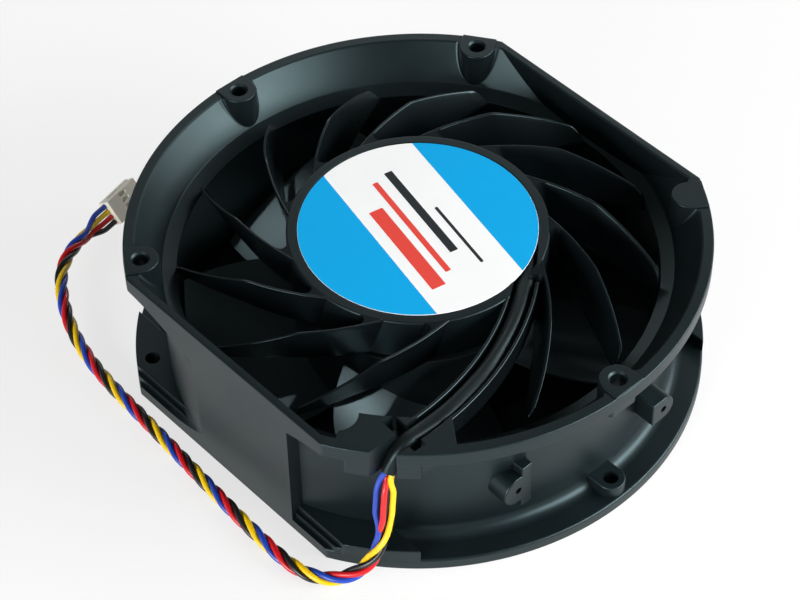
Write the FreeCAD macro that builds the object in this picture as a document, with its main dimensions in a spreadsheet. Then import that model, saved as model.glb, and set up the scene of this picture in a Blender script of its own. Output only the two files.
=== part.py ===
import FreeCAD
import Part
import Sketcher
import math
import os
import re
from FreeCAD import Vector

# Axial cooling fan, 172 mm across with two flats 150 mm apart, 51 mm deep.
# The origin lies on the fan axis in the plane of the inlet flange. +Z points from inlet to outlet.

doc = FreeCAD.newDocument("cooling_fan")
sheet = doc.addObject("Spreadsheet::Sheet", "Dimensions")

driving = {
    # outer envelope of the moulded frame
    "rim_radius": 86.0,
    "flat_offset": 75.0,
    "fan_depth": 51.0,
    # outlet rim and bell
    "lip_height": 4.0,
    "lip_width": 3.4,
    "flat_lip_width": 2.6,
    "bell_depth": 11.5,
    "bell_ledge": 4.2,
    "bell_step": 2.0,
    # barrel, inlet bell and inlet flange
    "flange_width": 10.0,
    "barrel_wall": 4.8,
    "flare_height": 12.0,
    "rim_height": 5.3,
    "inlet_bell": 9.5,
    "flange_thickness": 4.0,
    "foot_radius": 4.0,
    "pad_height": 8.0,
    "pad_reach": 14.4,
    "pad_foot": 20.0,
    "tongue_width": 8.6,
    # mounting holes, through both flanges
    "hole_inset": 5.0,
    "hole_angle": 34.0,
    "hole_radius": 2.3,
    "hole_chamfer": 0.5,
    "ear_radius": 4.8,
    "ear_height": 10.7,
    "ear_rise": 0.5,
    # flat panel on the side where the leads come out
    "panel_length": 26.8,
    "panel_depth": 5.0,
    # cable exit block at one corner of the outlet rim
    "block_start": -148.5,
    "block_end": -125.5,
    "block_face_start": -146.4,
    "block_face_end": -132.3,
    "block_setback": 1.2,
    "scallop_radius": 6.0,
    "scallop_circle": 2.1,
    "scallop_angle": -150.1,
    "slot_width": 6.8,
    "notch_length": 4.2,
    "notch_reach": 4.4,
    "notch_depth": 6.5,
    # side lugs on the barrel
    "lug_hole_radius": 1.1,
    "lug_hole_depth": 6.0,
    "lug_height": 21.5,
    "tall_lug_x": -30.5,
    "tall_lug_reach": -2.0,
    "tall_lug_radius": 5.2,
    "tall_lug_rib": 3.9,
    "tall_lug_rise": 8.2,
    "short_lug_x": 20.8,
    "short_lug_reach": 5.0,
    "short_lug_radius": 4.2,
    "short_lug_block": 4.4,
    "lug_depth": 9.0,
    # motor base: plate, skirt and posts in the middle of the guide vanes
    "base_radius": 38.5,
    "base_plate": 2.5,
    "base_skirt": 2.2,
    "rotor_gap": 3.0,
    "base_opening": 8.5,
    "collar_wall": 2.6,
    "collar_gap": 2.9,
    "post_radius": 2.2,
    "post_circle": 30.5,
    "label_radius": 36.0,
    "label_thickness": 0.2,
    # guide vanes
    "vane_count": 13,
    "vane_start": 73.1,
    "vane_sweep_inner": 23.3,
    "vane_sweep_outer": 41.2,
    "vane_lean": 7.0,
    "vane_thickness": 1.3,
    "vane_kink_radius": 53.5,
    "vane_drop": 9.0,
    # lead channel across the vanes, with the sleeve that lies in it
    "channel_width": 8.4,
    "channel_wall": 1.1,
    "channel_floor": 1.4,
    "sleeve_radius": 2.75,
    "sleeve_clearance": 0.35,
    "lead_start_reach": 3.3,
    "lead_start_angle": -58.9,
    "lead_middle_angle": -111.6,
    "lead_end_angle": -133.8,
    "lead_end_reach": 5.2,
    "sleeve_bend": 8.0,
    "sleeve_bend_angle": 60.0,
    # bearings and shaft
    "shaft_radius": 3.0,
    "bearing_radius": 9.5,
    "bearing_width": 6.0,
    "inner_ring_radius": 4.9,
    "outer_ring_bore": 7.6,
    "ball_circle": 6.25,
    "ball_radius": 1.75,
    "ball_count": 6,
    "race_clearance": 0.03,
    "bearing_recess": 1.0,
    "tube_wall": 2.5,
    "tube_shoulder": 1.5,
    "clip_thickness": 0.6,
    "clip_radius": 4.6,
    "clip_groove": 0.5,
    "shaft_tip": 1.4,
    "washer_radius": 4.7,
    "washer_thickness": 0.7,
    "boss_radius": 7.0,
    "boss_height": 3.8,
    # rotor
    "hub_radius": 37.5,
    "hub_wall": 2.5,
    "hub_bottom": 4.0,
    "hub_floor": 2.5,
    "hub_margin": 5.5,
    "hub_round": 3.0,
    "yoke_wall": 2.0,
    "yoke_floor": 1.8,
    "yoke_recess": 0.5,
    "magnet_thickness": 4.0,
    "magnet_gap": 1.7,
    "magnet_recess": 3.0,
    # impeller blades
    "blade_count": 5,
    "tip_clearance": 1.4,
    "blade_bottom": 7.5,
    "blade_height": 20.5,
    "blade_root_chord": 70.0,
    "blade_tip_chord": 37.0,
    "blade_root_angle": -167.5,
    "blade_tip_angle": -149.0,
    "blade_root_thickness": 2.6,
    "blade_tip_thickness": 1.6,
    "blade_camber": 0.07,
    "blade_edge": 0.5,
    # stator
    "air_gap": 0.6,
    "coil_clearance": 1.0,
    "coil_recess": 2.8,
    "core_yoke": 4.5,
    "tooth_count": 6,
    "tooth_width": 6.4,
    "tooth_tip": 2.2,
    "tooth_slot": 2.6,
    "insulator_thickness": 1.5,
    "insulator_margin": 0.5,
    "winding_build": 2.2,
    "winding_margin": 0.6,
    "pin_radius": 0.4,
    "pin_circle": 15.2,
    "pin_stand": 0.8,
    # control board
    "board_radius": 35.0,
    "board_thickness": 1.6,
    "board_recess": 1.5,
    "board_bore_gap": 0.5,
    "chip_size": 7.0,
    "chip_height": 1.2,
    "transistor_length": 6.0,
    "transistor_width": 4.8,
    "transistor_height": 1.7,
    "capacitor_radius": 3.6,
    "capacitor_gap": 1.5,
    "sensor_width": 4.0,
    "sensor_depth": 1.5,
    "sensor_height": 3.0,
    "component_circle": 24.0,
    # leads and connector
    "wire_radius": 0.85,
    "bundle_radius": 2.1,
    "plug_length": 13.5,
    "plug_width": 8.6,
    "plug_thickness": 5.0,
    "plug_pitch": 2.0,
    "plug_key": 0.8,
    "plug_roll": 53.0,
    "plug_heading": 13.6,
    "terminal_radius": 0.6,
    "terminal_length": 11.0,
}

for row, (alias, number) in enumerate(driving.items(), start=1):
    sheet.set(f"A{row}", alias.replace("_", " "))
    sheet.set(f"B{row}", str(number))
    sheet.setAlias(f"B{row}", alias)
doc.recompute()


def linked(text):
    return re.sub(r"[a-z_]+", lambda word: named(word.group()), str(text))


def named(word):
    return "Dimensions." + word if word in driving else word


def value(text):
    return float(sheet.evalExpression(linked(text)))


def bind(item, sizes):
    for prop, text in sizes.items():
        item.setExpression(prop, linked(text))
    return item


def polar(radius, angle, height=0.0):
    turn = math.radians(angle)
    return Vector(radius * math.cos(turn), radius * math.sin(turn), height)


# A turned piece: a closed profile of (radius, height) corners, revolved about the fan axis.
# A third entry makes the edge to the next corner an arc of that radius, bulging to the left.
def turned(label, *corners):
    body = doc.addObject("PartDesign::Body", label)
    sketch = body.newObject("Sketcher::SketchObject", label + "_profile")
    plane = [feature for feature in body.Origin.OriginFeatures if feature.Role == "XZ_Plane"][0]
    sketch.AttachmentSupport = [(plane, "")]
    sketch.MapMode = "FlatFace"
    places = [Vector(value(corner[0]), value(corner[1]), 0) for corner in corners]
    count = len(corners)
    starts = []
    for index, corner in enumerate(corners):
        start = places[index]
        end = places[(index + 1) % count]
        if len(corner) == 3:
            edge = sketch.addGeometry(bulge(start, end, value(corner[2])), False)
            forward = (sketch.getPoint(edge, 1) - start).Length < 1e-6
            starts.append((edge, 1 if forward else 2))
        else:
            starts.append((sketch.addGeometry(Part.LineSegment(start, end), False), 1))
    for index in range(count):
        edge, first = starts[index]
        following = starts[(index + 1) % count]
        sketch.addConstraint(Sketcher.Constraint("Coincident", edge, 3 - first, *following))
    for index, corner in enumerate(corners):
        fix_corner(sketch, starts[index], corner, places[index])
    turn = body.newObject("PartDesign::Revolution", label + "_turn")
    turn.Profile = sketch
    turn.ReferenceAxis = (sketch, ["V_Axis"])
    turn.Angle = 360.0
    return body


def bulge(start, end, radius):
    chord = end - start
    left = Vector(-chord.y, chord.x, 0).normalize()
    sagitta = radius - math.sqrt(radius ** 2 - (chord.Length / 2) ** 2)
    return Part.ArcOfCircle(start, (start + end) * 0.5 + left * sagitta, end)


def fix_corner(sketch, corner_point, corner, place):
    edge, first = corner_point
    for kind, axis, text, number in (("X", -2, corner[0], place.x), ("Y", -1, corner[1], place.y)):
        if text == "0":
            sketch.addConstraint(Sketcher.Constraint("PointOnObject", edge, first, axis))
        else:
            rule = sketch.addConstraint(Sketcher.Constraint("Distance" + kind, -1, 1, edge, first, number))
            sketch.setExpression(f"Constraints[{rule}]", linked(text))
    if len(corner) == 3:
        rule = sketch.addConstraint(Sketcher.Constraint("Radius", edge, value(corner[2])))
        sketch.setExpression(f"Constraints[{rule}]", linked(corner[2]))


def box(label, length, width, height, x, y, z, turn="0"):
    item = doc.addObject("Part::Box", label)
    item.Placement.Rotation = FreeCAD.Rotation(Vector(0, 0, 1), value(turn))
    sizes = {"Length": length, "Width": width, "Height": height}
    return bind(item, {**sizes, **place_at(x, y, z)})


# A bar that points outwards at an angle, centred on that radius.
def spoke(label, start, length, width, bottom, height, turn):
    x = f"({start}) * cos({turn}) + ({width}) / 2 * sin({turn})"
    y = f"({start}) * sin({turn}) - ({width}) / 2 * cos({turn})"
    return box(label, length, width, height, x, y, bottom, turn)


def rod(label, radius, height, x="0", y="0", z="0"):
    item = doc.addObject("Part::Cylinder", label)
    return bind(item, {"Radius": radius, "Height": height, **place_at(x, y, z)})


# A round bar that points along -Y.
def side_rod(label, radius, height, x, y, z):
    item = rod(label, radius, height, x, y, z)
    item.Placement.Rotation = FreeCAD.Rotation(Vector(1, 0, 0), 90)
    return item


def place_at(x, y, z):
    return {"Placement.Base.x": x, "Placement.Base.y": y, "Placement.Base.z": z}


def fused(label, items):
    joined = doc.addObject("Part::MultiFuse", label)
    joined.Shapes = list(items)
    return joined


def common(label, first, second):
    shared = doc.addObject("Part::MultiCommon", label)
    shared.Shapes = [first, second]
    return shared


def cut(label, base, tool):
    left = doc.addObject("Part::Cut", label)
    left.Base = base
    left.Tool = tool
    return left


def grouped(label, items):
    group = doc.addObject("Part::Compound", label)
    group.Links = list(items)
    return group


def shaped(label, shape):
    item = doc.addObject("Part::Feature", label)
    item.Shape = shape
    return item


# A flat strip of even width along an arc through three points, raised to a height.
def arc_strip(points, width, height, shift=0.0):
    middle = Part.ArcOfCircle(*points)
    centre = middle.Center
    sides = []
    for offset in (shift - width / 2, shift + width / 2):
        scale = (middle.Radius + offset) / middle.Radius
        sides.append([centre + (point - centre) * scale for point in points])
    return strip_wire(*sides), height


def strip_wire(inner, outer):
    edges = [
        Part.ArcOfCircle(*inner).toShape(),
        Part.LineSegment(inner[2], outer[2]).toShape(),
        Part.ArcOfCircle(outer[2], outer[1], outer[0]).toShape(),
        Part.LineSegment(outer[0], inner[0]).toShape(),
    ]
    return Part.Wire(edges)


def raised(strip):
    wire, height = strip
    return Part.Face(wire).extrude(Vector(0, 0, height))


def ring_solid(inner, outer, bottom, height):
    ring = Part.makeCylinder(outer, height, Vector(0, 0, bottom))
    return ring.cut(Part.makeCylinder(inner, height, Vector(0, 0, bottom)))


pieces = []


def keep(item, label):
    item.Label = label
    pieces.append(item)
    return item


# Sizes worked out from the driving ones: the frame, then the rotor from the inlet upwards,
# then the motor base and the stator from what the rotor leaves.
barrel_radius = "(rim_radius - flange_width)"
flare_radius = "((flange_width * flange_width + flare_height * flare_height) / (2 * flange_width))"
duct_radius = f"({barrel_radius} - barrel_wall)"
block_inner_radius = f"({duct_radius} + block_setback)"
lip_top = "(fan_depth - ear_rise)"
ledge_height = "(fan_depth - bell_depth)"
ledge_radius = f"({duct_radius} + bell_ledge)"
duct_top = f"({ledge_height} - bell_step)"
hole_circle = "(rim_radius - hole_inset)"
ear_bottom = "(fan_depth - ear_height)"
block_height = "(ear_height - ear_rise)"
tall_lug_y = f"(-{barrel_radius} - tall_lug_reach)"
short_lug_y = f"(-{barrel_radius} - short_lug_reach)"
hub_top = "(blade_bottom + blade_height + hub_margin)"
boss_bottom = "(hub_bottom + hub_floor)"
yoke_radius = "(hub_radius - hub_wall)"
yoke_top = f"({hub_top} - yoke_recess)"
yoke_inside = f"({boss_bottom} + yoke_floor)"
magnet_radius = f"({yoke_radius} - yoke_wall)"
magnet_bore = f"({magnet_radius} - magnet_thickness)"
magnet_bottom = f"({yoke_inside} + magnet_gap)"
magnet_top = f"({yoke_top} - magnet_recess)"
base_bottom = f"({hub_top} + rotor_gap)"
base_depth = f"(fan_depth - {base_bottom})"
plate_bottom = "(fan_depth - base_plate)"
board_bottom = f"({base_bottom} + board_recess)"
board_top = f"({board_bottom} + board_thickness)"
tube_radius = "(bearing_radius + tube_wall)"
collar_radius = f"({tube_radius} + collar_wall)"
collar_bottom = f"({board_top} + collar_gap)"
washer_bottom = f"({boss_bottom} + boss_height)"
lower_bearing = f"({washer_bottom} + washer_thickness)"
upper_bearing = f"({plate_bottom} - bearing_recess - bearing_width)"
clip_bottom = f"({upper_bearing} + bearing_width)"
coil_end = "(winding_build + insulator_thickness)"
core_bottom = f"({yoke_inside} + coil_clearance + {coil_end})"
core_top = f"({hub_top} - coil_recess - {coil_end})"
core_height = f"({core_top} - {core_bottom})"
core_radius = f"({magnet_bore} - air_gap)"
core_ring_radius = f"({tube_radius} + core_yoke)"

# Frame barrel: outlet rim, bell, duct, inlet flange, mounting ears, pads and lugs, one moulding.
outer_form = turned(
    "outer_form",
    ("0", "0"),
    ("rim_radius", "0"),
    ("rim_radius", "flange_thickness"),
    (f"{barrel_radius} + foot_radius", "flange_thickness", "foot_radius"),
    (barrel_radius, "flange_thickness + foot_radius"),
    (barrel_radius, "fan_depth - rim_height - flare_height", flare_radius),
    ("rim_radius", "fan_depth - rim_height"),
    ("rim_radius", lip_top),
    ("0", lip_top),
)
air_passage = turned(
    "air_passage",
    ("0", "0"),
    (f"{duct_radius} + inlet_bell", "0", "inlet_bell"),
    (duct_radius, "inlet_bell"),
    (duct_radius, duct_top),
    (ledge_radius, ledge_height),
    ("rim_radius - lip_width", lip_top),
    ("0", lip_top),
)
inner_flat = "(flat_offset - flat_lip_width)"
flat_trim = box(
    "flat_trim", "2 * flat_offset", "2 * rim_radius", "fan_depth", "-flat_offset", "-rim_radius", "0"
)
flat_passage = box(
    "flat_passage", f"2 * {inner_flat}", "2 * rim_radius", "fan_depth", f"-{inner_flat}", "-rim_radius", "0"
)
passage = common("passage", air_passage, flat_passage)

# Corner pads and end tongues that stand on the inlet flange round its holes.
flange_parts = [outer_form]
pad_disc = rod("pad_disc", "rim_radius", "pad_height")
for number, (side, end) in enumerate(((1, 1), (-1, 1), (-1, -1), (1, -1)), start=1):
    left_x = f"{inner_flat} - pad_reach" if side > 0 else f"-{inner_flat}"
    near_y = "pad_foot" if end > 0 else "-rim_radius"
    pad_block = box(
        f"pad_block_{number}", "pad_reach", "rim_radius - pad_foot", "pad_height", left_x, near_y, "0"
    )
    flange_parts.append(common(f"corner_pad_{number}", pad_block, pad_disc))
for number, end in enumerate((1, -1), start=1):
    back_y = barrel_radius if end > 0 else f"-{hole_circle}"
    tongue_reach = f"{hole_circle} - {barrel_radius}"
    flange_parts.append(
        box(f"tongue_{number}", "tongue_width", tongue_reach, "pad_height", "-tongue_width / 2", back_y, "0")
    )
    flange_parts.append(
        rod(f"tongue_end_{number}", "tongue_width / 2", "pad_height", "0", f"{end} * {hole_circle}", "0")
    )

# Flat panel beside the cable exit, flush with the flat.
flange_parts.append(
    box(
        "side_panel", "panel_depth", "panel_length", "fan_depth - lip_height",
        "-flat_offset", "-panel_length", "0",
    )
)

# Two lugs with screw holes on the rounded end below the leads.
lug_back = f"{tall_lug_y} + lug_depth"
flange_parts.append(
    side_rod("tall_lug_boss", "tall_lug_radius", "lug_depth", "tall_lug_x", lug_back, "lug_height")
)
flange_parts.append(
    box(
        "tall_lug_rib_block", "tall_lug_rib", "lug_depth", "2 * tall_lug_rise",
        "tall_lug_x + tall_lug_radius - tall_lug_rib", tall_lug_y, "lug_height - tall_lug_rise",
    )
)
short_back = f"{short_lug_y} + lug_depth"
flange_parts.append(
    side_rod("short_lug_boss", "short_lug_radius", "lug_depth", "short_lug_x", short_back, "lug_height")
)
flange_parts.append(
    box(
        "short_lug_body", "short_lug_block", "lug_depth", "2 * short_lug_radius",
        "short_lug_x - short_lug_block", short_lug_y, "lug_height - short_lug_radius",
    )
)
barrel_form = common("barrel_form", fused("flange_form", flange_parts), flat_trim)
open_barrel = cut("open_barrel", barrel_form, passage)

# Ears of the outlet rim, which stand a little proud of its lip, and the block that the cable leaves through.
ear_angles = ("hole_angle", "90", "180 - hole_angle", "-90", "-hole_angle")
rim_parts = [open_barrel]
lip_disc = rod("lip_disc", "rim_radius", "lip_height", "0", "0", "fan_depth - lip_height")
for number, angle in enumerate(ear_angles, start=1):
    rim_parts.append(
        rod(
            f"ear_{number}", "ear_radius", "ear_height",
            f"{hole_circle} * cos({angle})", f"{hole_circle} * sin({angle})", ear_bottom,
        )
    )
    pad_bar = spoke(
        f"ear_bar_{number}", hole_circle, "hole_inset", "2 * ear_radius",
        "fan_depth - lip_height", "lip_height", angle,
    )
    rim_parts.append(common(f"ear_pad_{number}", pad_bar, lip_disc))


def sector(label, outer, inner, start, end, bottom=ear_bottom, height=block_height):
    disc = rod(label + "_disc", outer, height, "0", "0", bottom)
    disc.setExpression("Angle", linked(f"{end} - ({start})"))
    disc.Placement.Rotation = FreeCAD.Rotation(Vector(0, 0, 1), value(start))
    return cut(label, disc, rod(label + "_core", inner, height, "0", "0", bottom))


block_outer = "rim_radius - lip_width / 2"
block_ring = sector("block_ring", block_outer, block_inner_radius, "block_start", "block_end")
block_foot = sector(
    "block_foot", ledge_radius, block_inner_radius, "block_start", "block_end",
    duct_top, f"{ear_bottom} - {duct_top}",
)
scallop_reach = f"({block_inner_radius} + scallop_circle)"
scallop = rod(
    "scallop", "scallop_radius", f"{lip_top} - {duct_top}",
    f"{scallop_reach} * cos(scallop_angle)", f"{scallop_reach} * sin(scallop_angle)", duct_top,
)
rim_parts.append(cut("block_top", fused("block_body", [block_ring, block_foot]), scallop))
rim_parts.append(sector("block_face", "rim_radius", hole_circle, "block_face_start", "block_face_end"))
rim_form = fused("rim_form", rim_parts)

# Route of the leads across the vanes: an arc from the motor base to the exit block.
lead_start = polar(value("base_radius - base_skirt - lead_start_reach"), value("lead_start_angle"))
lead_end = polar(value(f"{block_inner_radius} + lead_end_reach"), value("lead_end_angle"))
lead_middle_radius = (value("base_radius") + value(block_inner_radius)) / 2
lead_middle = polar(lead_middle_radius, value("lead_middle_angle"))
lead_points = (lead_start, lead_middle, lead_end)
lead_arc = Part.ArcOfCircle(*lead_points)
lead_heading = lead_arc.tangent(lead_arc.LastParameter)[0]
lead_angle = math.degrees(math.atan2(lead_heading.y, lead_heading.x))

# The groove in which the sleeve lies, cut from everything that it crosses.
sleeve_height = value("fan_depth - label_thickness - sleeve_radius - sleeve_clearance")
groove_width = 2 * value("sleeve_radius + sleeve_clearance")
groove_bottom = sleeve_height - value("sleeve_radius + sleeve_clearance")
groove_depth = value("fan_depth") - groove_bottom


def lifted(points, height):
    return [Vector(point.x, point.y, height) for point in points]


groove_form = raised(arc_strip(lifted(lead_points, groove_bottom), groove_width, groove_depth))

# Everything that is cut from the rim: lead slot with a notch on either side, and screw holes.
slot_start = lead_end - lead_heading * value("lead_end_reach + slot_width / 2")
slot_place = FreeCAD.Placement(slot_start, FreeCAD.Rotation(Vector(0, 0, 1), lead_angle))


def slot_box(label, start, length, side, width, depth):
    form = Part.makeBox(length, width, depth, Vector(start, side, value("fan_depth") - depth))
    item = shaped(label, form)
    item.Placement = slot_place
    return item


slot_length = value(f"rim_radius - {block_inner_radius} + slot_width + lead_end_reach")
notch_start = value("lead_end_reach + slot_width / 2")
notch = (value("notch_length"), value("notch_reach"), value("notch_depth"))
half_slot = value("slot_width") / 2
lead_groove = shaped("lead_groove", groove_form)
cutters = [
    lead_groove,
    slot_box("lead_slot", 0, slot_length, -half_slot, 2 * half_slot, value("ear_height")),
    slot_box("inner_notch", notch_start, notch[0], -half_slot - notch[1], notch[1], notch[2]),
    slot_box("outer_notch", notch_start, notch[0], half_slot, notch[1] / 2, notch[2]),
]
hole_angles = ear_angles[:4]
for number, angle in enumerate(hole_angles, start=1):
    hole_x = f"{hole_circle} * cos({angle})"
    hole_y = f"{hole_circle} * sin({angle})"
    cutters.append(rod(f"hole_{number}", "hole_radius", "fan_depth", hole_x, hole_y, "0"))
    countersink = doc.addObject("Part::Cone", f"countersink_{number}")
    bind(countersink, {"Radius1": "hole_radius", "Radius2": "hole_radius + hole_chamfer"})
    bind(countersink, {"Height": "hole_chamfer", **place_at(hole_x, hole_y, "fan_depth - hole_chamfer")})
    cutters.append(countersink)
for name, lug_face in (("tall_lug", tall_lug_y), ("short_lug", short_lug_y)):
    hole_end = f"{lug_face} + lug_hole_depth"
    cutters.append(
        side_rod(
            name + "_hole", "lug_hole_radius", "lug_hole_depth", name + "_x", hole_end, "lug_height",
        )
    )
frame_barrel = keep(cut("frame_cut", rim_form, fused("frame_cutters", cutters)), "frame_barrel")

# Motor base: the cup in the middle of the vanes that carries the stator and the control board.
base_cup = turned(
    "base_cup",
    ("base_opening", plate_bottom),
    ("base_opening", "fan_depth - label_thickness"),
    ("label_radius", "fan_depth - label_thickness"),
    ("label_radius", "fan_depth"),
    ("base_radius", "fan_depth"),
    ("base_radius", base_bottom),
    ("base_radius - base_skirt", base_bottom),
    ("base_radius - base_skirt", plate_bottom),
    (collar_radius, plate_bottom),
    (collar_radius, collar_bottom),
    (tube_radius, collar_bottom),
    (tube_radius, plate_bottom),
)
post_angles = (30, 150, 250)
base_parts = [base_cup]
for number, angle in enumerate(post_angles, start=1):
    base_parts.append(
        rod(
            f"post_{number}", "post_radius", f"{plate_bottom} - {board_top}",
            f"post_circle * cos({angle})", f"post_circle * sin({angle})", board_top,
        )
    )
base_form = fused("base_form", base_parts)
keep(cut("base_cut", base_form, lead_groove), "motor_base")

# Label: a plain printed disc stuck into the recess of the motor base.
keep(rod("label_disc", "label_radius", "label_thickness", "0", "0", "fan_depth - label_thickness"), "label")

# Guide vanes: swept, leaning blades that join the motor base to the duct.
# Their top edge is level as far as the kink, and then falls to a toe on the bell's ledge.
toe_share = 0.25
vane_zone = turned(
    "vane_zone",
    ("base_radius", base_bottom),
    (duct_radius, base_bottom),
    (duct_radius, duct_top),
    (f"{duct_radius} + {toe_share} * bell_ledge", f"{duct_top} + {toe_share} * bell_step"),
    (duct_radius, "fan_depth - vane_drop"),
    ("vane_kink_radius", "fan_depth"),
    ("base_radius", "fan_depth"),
)
doc.recompute()


def vane_points(height, turn):
    reach = 2 * value("vane_thickness")
    inner = value("base_radius")
    outer = value(duct_radius)
    kink = value("vane_kink_radius")
    spread = (value("vane_sweep_outer") - value("vane_sweep_inner")) / (outer - kink)
    first = value("vane_sweep_inner") / (kink - inner)
    return (
        polar(inner - reach, turn + first * reach, height),
        polar(kink, turn - value("vane_sweep_inner"), height),
        polar(outer + reach, turn - value("vane_sweep_outer") - spread * reach, height),
    )


def vane_solid(turn):
    top = value("fan_depth")
    bottom = value(base_bottom)
    thickness = value("vane_thickness")
    lower, _ = arc_strip(vane_points(bottom, turn - value("vane_lean")), thickness, 0)
    upper, _ = arc_strip(vane_points(top, turn), thickness, 0)
    return Part.makeLoft([lower, upper], True, True)


channel_height = groove_depth + value("channel_floor")
channel_bottom = value("fan_depth") - channel_height
trough = raised(arc_strip(lifted(lead_points, channel_bottom), value("channel_width"), channel_height))
vane_pitch = 360.0 / value("vane_count")
lead_side = value("lead_middle_angle") + value("vane_sweep_inner")
vanes = []
for index in range(int(value("vane_count"))):
    turn = value("vane_start") - index * vane_pitch
    if abs((turn - lead_side + 180) % 360 - 180) > vane_pitch / 2:
        vanes.append(vane_solid(turn).common(vane_zone.Shape).cut(trough))
keep(shaped("vane_row", Part.makeCompound([solid for vane in vanes for solid in vane.Solids])), "guide_vanes")

# Lead channel: an open trough in place of one vane, with one wall reaching down like a vane.
wall_shift = value("channel_wall - channel_width") / 2
wall_points = lifted(lead_points, value(base_bottom))
wall = raised(arc_strip(wall_points, value("channel_wall"), value(base_depth), wall_shift))
reach_ring = ring_solid(value("base_radius"), value(block_inner_radius), channel_bottom, channel_height)
wall_ring = ring_solid(value("base_radius"), value(duct_radius), value(base_bottom), value(base_depth))
channel_form = trough.common(reach_ring).fuse(wall.common(wall_ring))
channel_form = channel_form.cut(groove_form).cut(frame_barrel.Shape).removeSplitter()
keep(shaped("channel_form", channel_form), "lead_channel")

# Wire sleeve: shrink tubing round the leads, in the channel and down through the slot.
sleeve_points = lifted(lead_points, sleeve_height)
bend = value("sleeve_bend")
bend_angle = math.radians(value("sleeve_bend_angle"))


def bend_point(part):
    along = bend * math.sin(bend_angle * part)
    down = bend * (1 - math.cos(bend_angle * part))
    return sleeve_points[2] + lead_heading * along - Vector(0, 0, down)


sleeve_path = Part.Wire([
    Part.ArcOfCircle(*sleeve_points).toShape(),
    Part.ArcOfCircle(sleeve_points[2], bend_point(0.5), bend_point(1.0)).toShape(),
])
sleeve_tangent = Part.ArcOfCircle(*sleeve_points).tangent(Part.ArcOfCircle(*sleeve_points).FirstParameter)[0]
sleeve_ring = Part.makeCircle(value("sleeve_radius"), sleeve_points[0], sleeve_tangent)
sleeve_form = sleeve_path.makePipeShell([Part.Wire([sleeve_ring])], True, False)
keep(shaped("sleeve_form", sleeve_form), "wire_sleeve")
sleeve_end = bend_point(1.0)
sleeve_exit = lead_heading * math.cos(bend_angle) - Vector(0, 0, math.sin(bend_angle))

# Wire bundle: four leads twisted together, drawn as one plain tube from the sleeve to the connector.
exit_run = 5.0
plug_entry = Vector(-37.6, 104.2, 6.0)
plug_axis = polar(1.0, value("plug_heading"))
entry_run = 9.8
lead_route = [
    sleeve_end,
    sleeve_end + sleeve_exit * exit_run,
    Vector(-65.2, -56.9, 31.5),
    Vector(-66.4, -57.4, 22.5),
    Vector(-68.4, -57.8, 13.8),
    Vector(-73.4, -56.2, 6.4),
    Vector(-80.4, -51.0, 2.9),
    Vector(-84.8, -42.4, 2.5),
    Vector(-85.4, -30.5, 2.4),
    Vector(-84.3, -8.0, 2.3),
    Vector(-81.5, 30.0, 2.3),
    Vector(-80.3, 54.0, 2.5),
    Vector(-77.4, 70.5, 3.6),
    Vector(-72.6, 82.8, 5.6),
    Vector(-65.6, 93.4, 7.2),
    Vector(-56.8, 99.2, 7.3),
    plug_entry - plug_axis * entry_run + Vector(0, 0, 0.6),
    plug_entry,
]
run_share = 0.45


def tube_path(points):
    edges = []
    last = points[0]
    for before, corner, after in zip(points, points[1:], points[2:]):
        back = before - corner
        onward = after - corner
        turn = math.pi - back.getAngle(onward)
        reach = run_share * min(back.Length, onward.Length)
        radius = reach / math.tan(turn / 2)
        back.normalize()
        onward.normalize()
        start = corner + back * reach
        end = corner + onward * reach
        inward = (back + onward).normalize()
        centre = corner + inward * (reach / math.sin(turn / 2))
        edges.append(Part.LineSegment(last, start).toShape())
        edges.append(Part.ArcOfCircle(start, centre - inward * radius, end).toShape())
        last = end
    edges.append(Part.LineSegment(last, points[-1]).toShape())
    return Part.Wire(edges)


bundle_path = tube_path(lead_route)
bundle_ring = Part.makeCircle(value("bundle_radius"), lead_route[0], lead_route[1] - lead_route[0])
bundle_form = bundle_path.makePipeShell([Part.Wire([bundle_ring])], True, False)
bundle_volume = bundle_path.Length * math.pi * value("bundle_radius") ** 2
print("lead length", round(bundle_path.Length, 1))
print("lead volume share", round(bundle_form.Volume / bundle_volume, 4))
keep(shaped("bundle_form", bundle_form), "wire_bundle")

# Connector: a four-way crimp housing on the end of the leads, with its terminals.
plug_turn = FreeCAD.Rotation(Vector(0, 0, 1), value("plug_heading"))
plug_turn = plug_turn.multiply(FreeCAD.Rotation(Vector(1, 0, 0), value("plug_roll")))
plug_place = FreeCAD.Placement(plug_entry, plug_turn)
plug_length = value("plug_length")
plug_width = value("plug_width")
plug_thickness = value("plug_thickness")
plug_pitch = value("plug_pitch")
plug_key = value("plug_key")
plug_corner = Vector(0, -plug_width / 2, -plug_thickness / 2)
plug_block = Part.makeBox(plug_length, plug_width, plug_thickness, plug_corner)
terminal_start = value("plug_length - terminal_length") / 2
along = Vector(1, 0, 0)
terminals = []
windows = []
for index in range(4):
    across = (index - 1.5) * plug_pitch
    place = Vector(terminal_start, across, 0)
    terminals.append(Part.makeCylinder(value("terminal_radius"), value("terminal_length"), place, along))
    corner = Vector(plug_length / 2, across - plug_pitch / 4, plug_thickness / 2 - plug_key)
    windows.append(Part.makeBox(plug_length / 3, plug_pitch / 2, plug_key, corner))
housing = plug_block.cut(Part.makeCompound(terminals)).cut(Part.makeCompound(windows))
connector = keep(shaped("connector_form", housing), "connector_housing")
connector.Placement = plug_place
contacts = keep(shaped("contact_row", Part.makeCompound(terminals)), "connector_terminals")
contacts.Placement = plug_place

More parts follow.
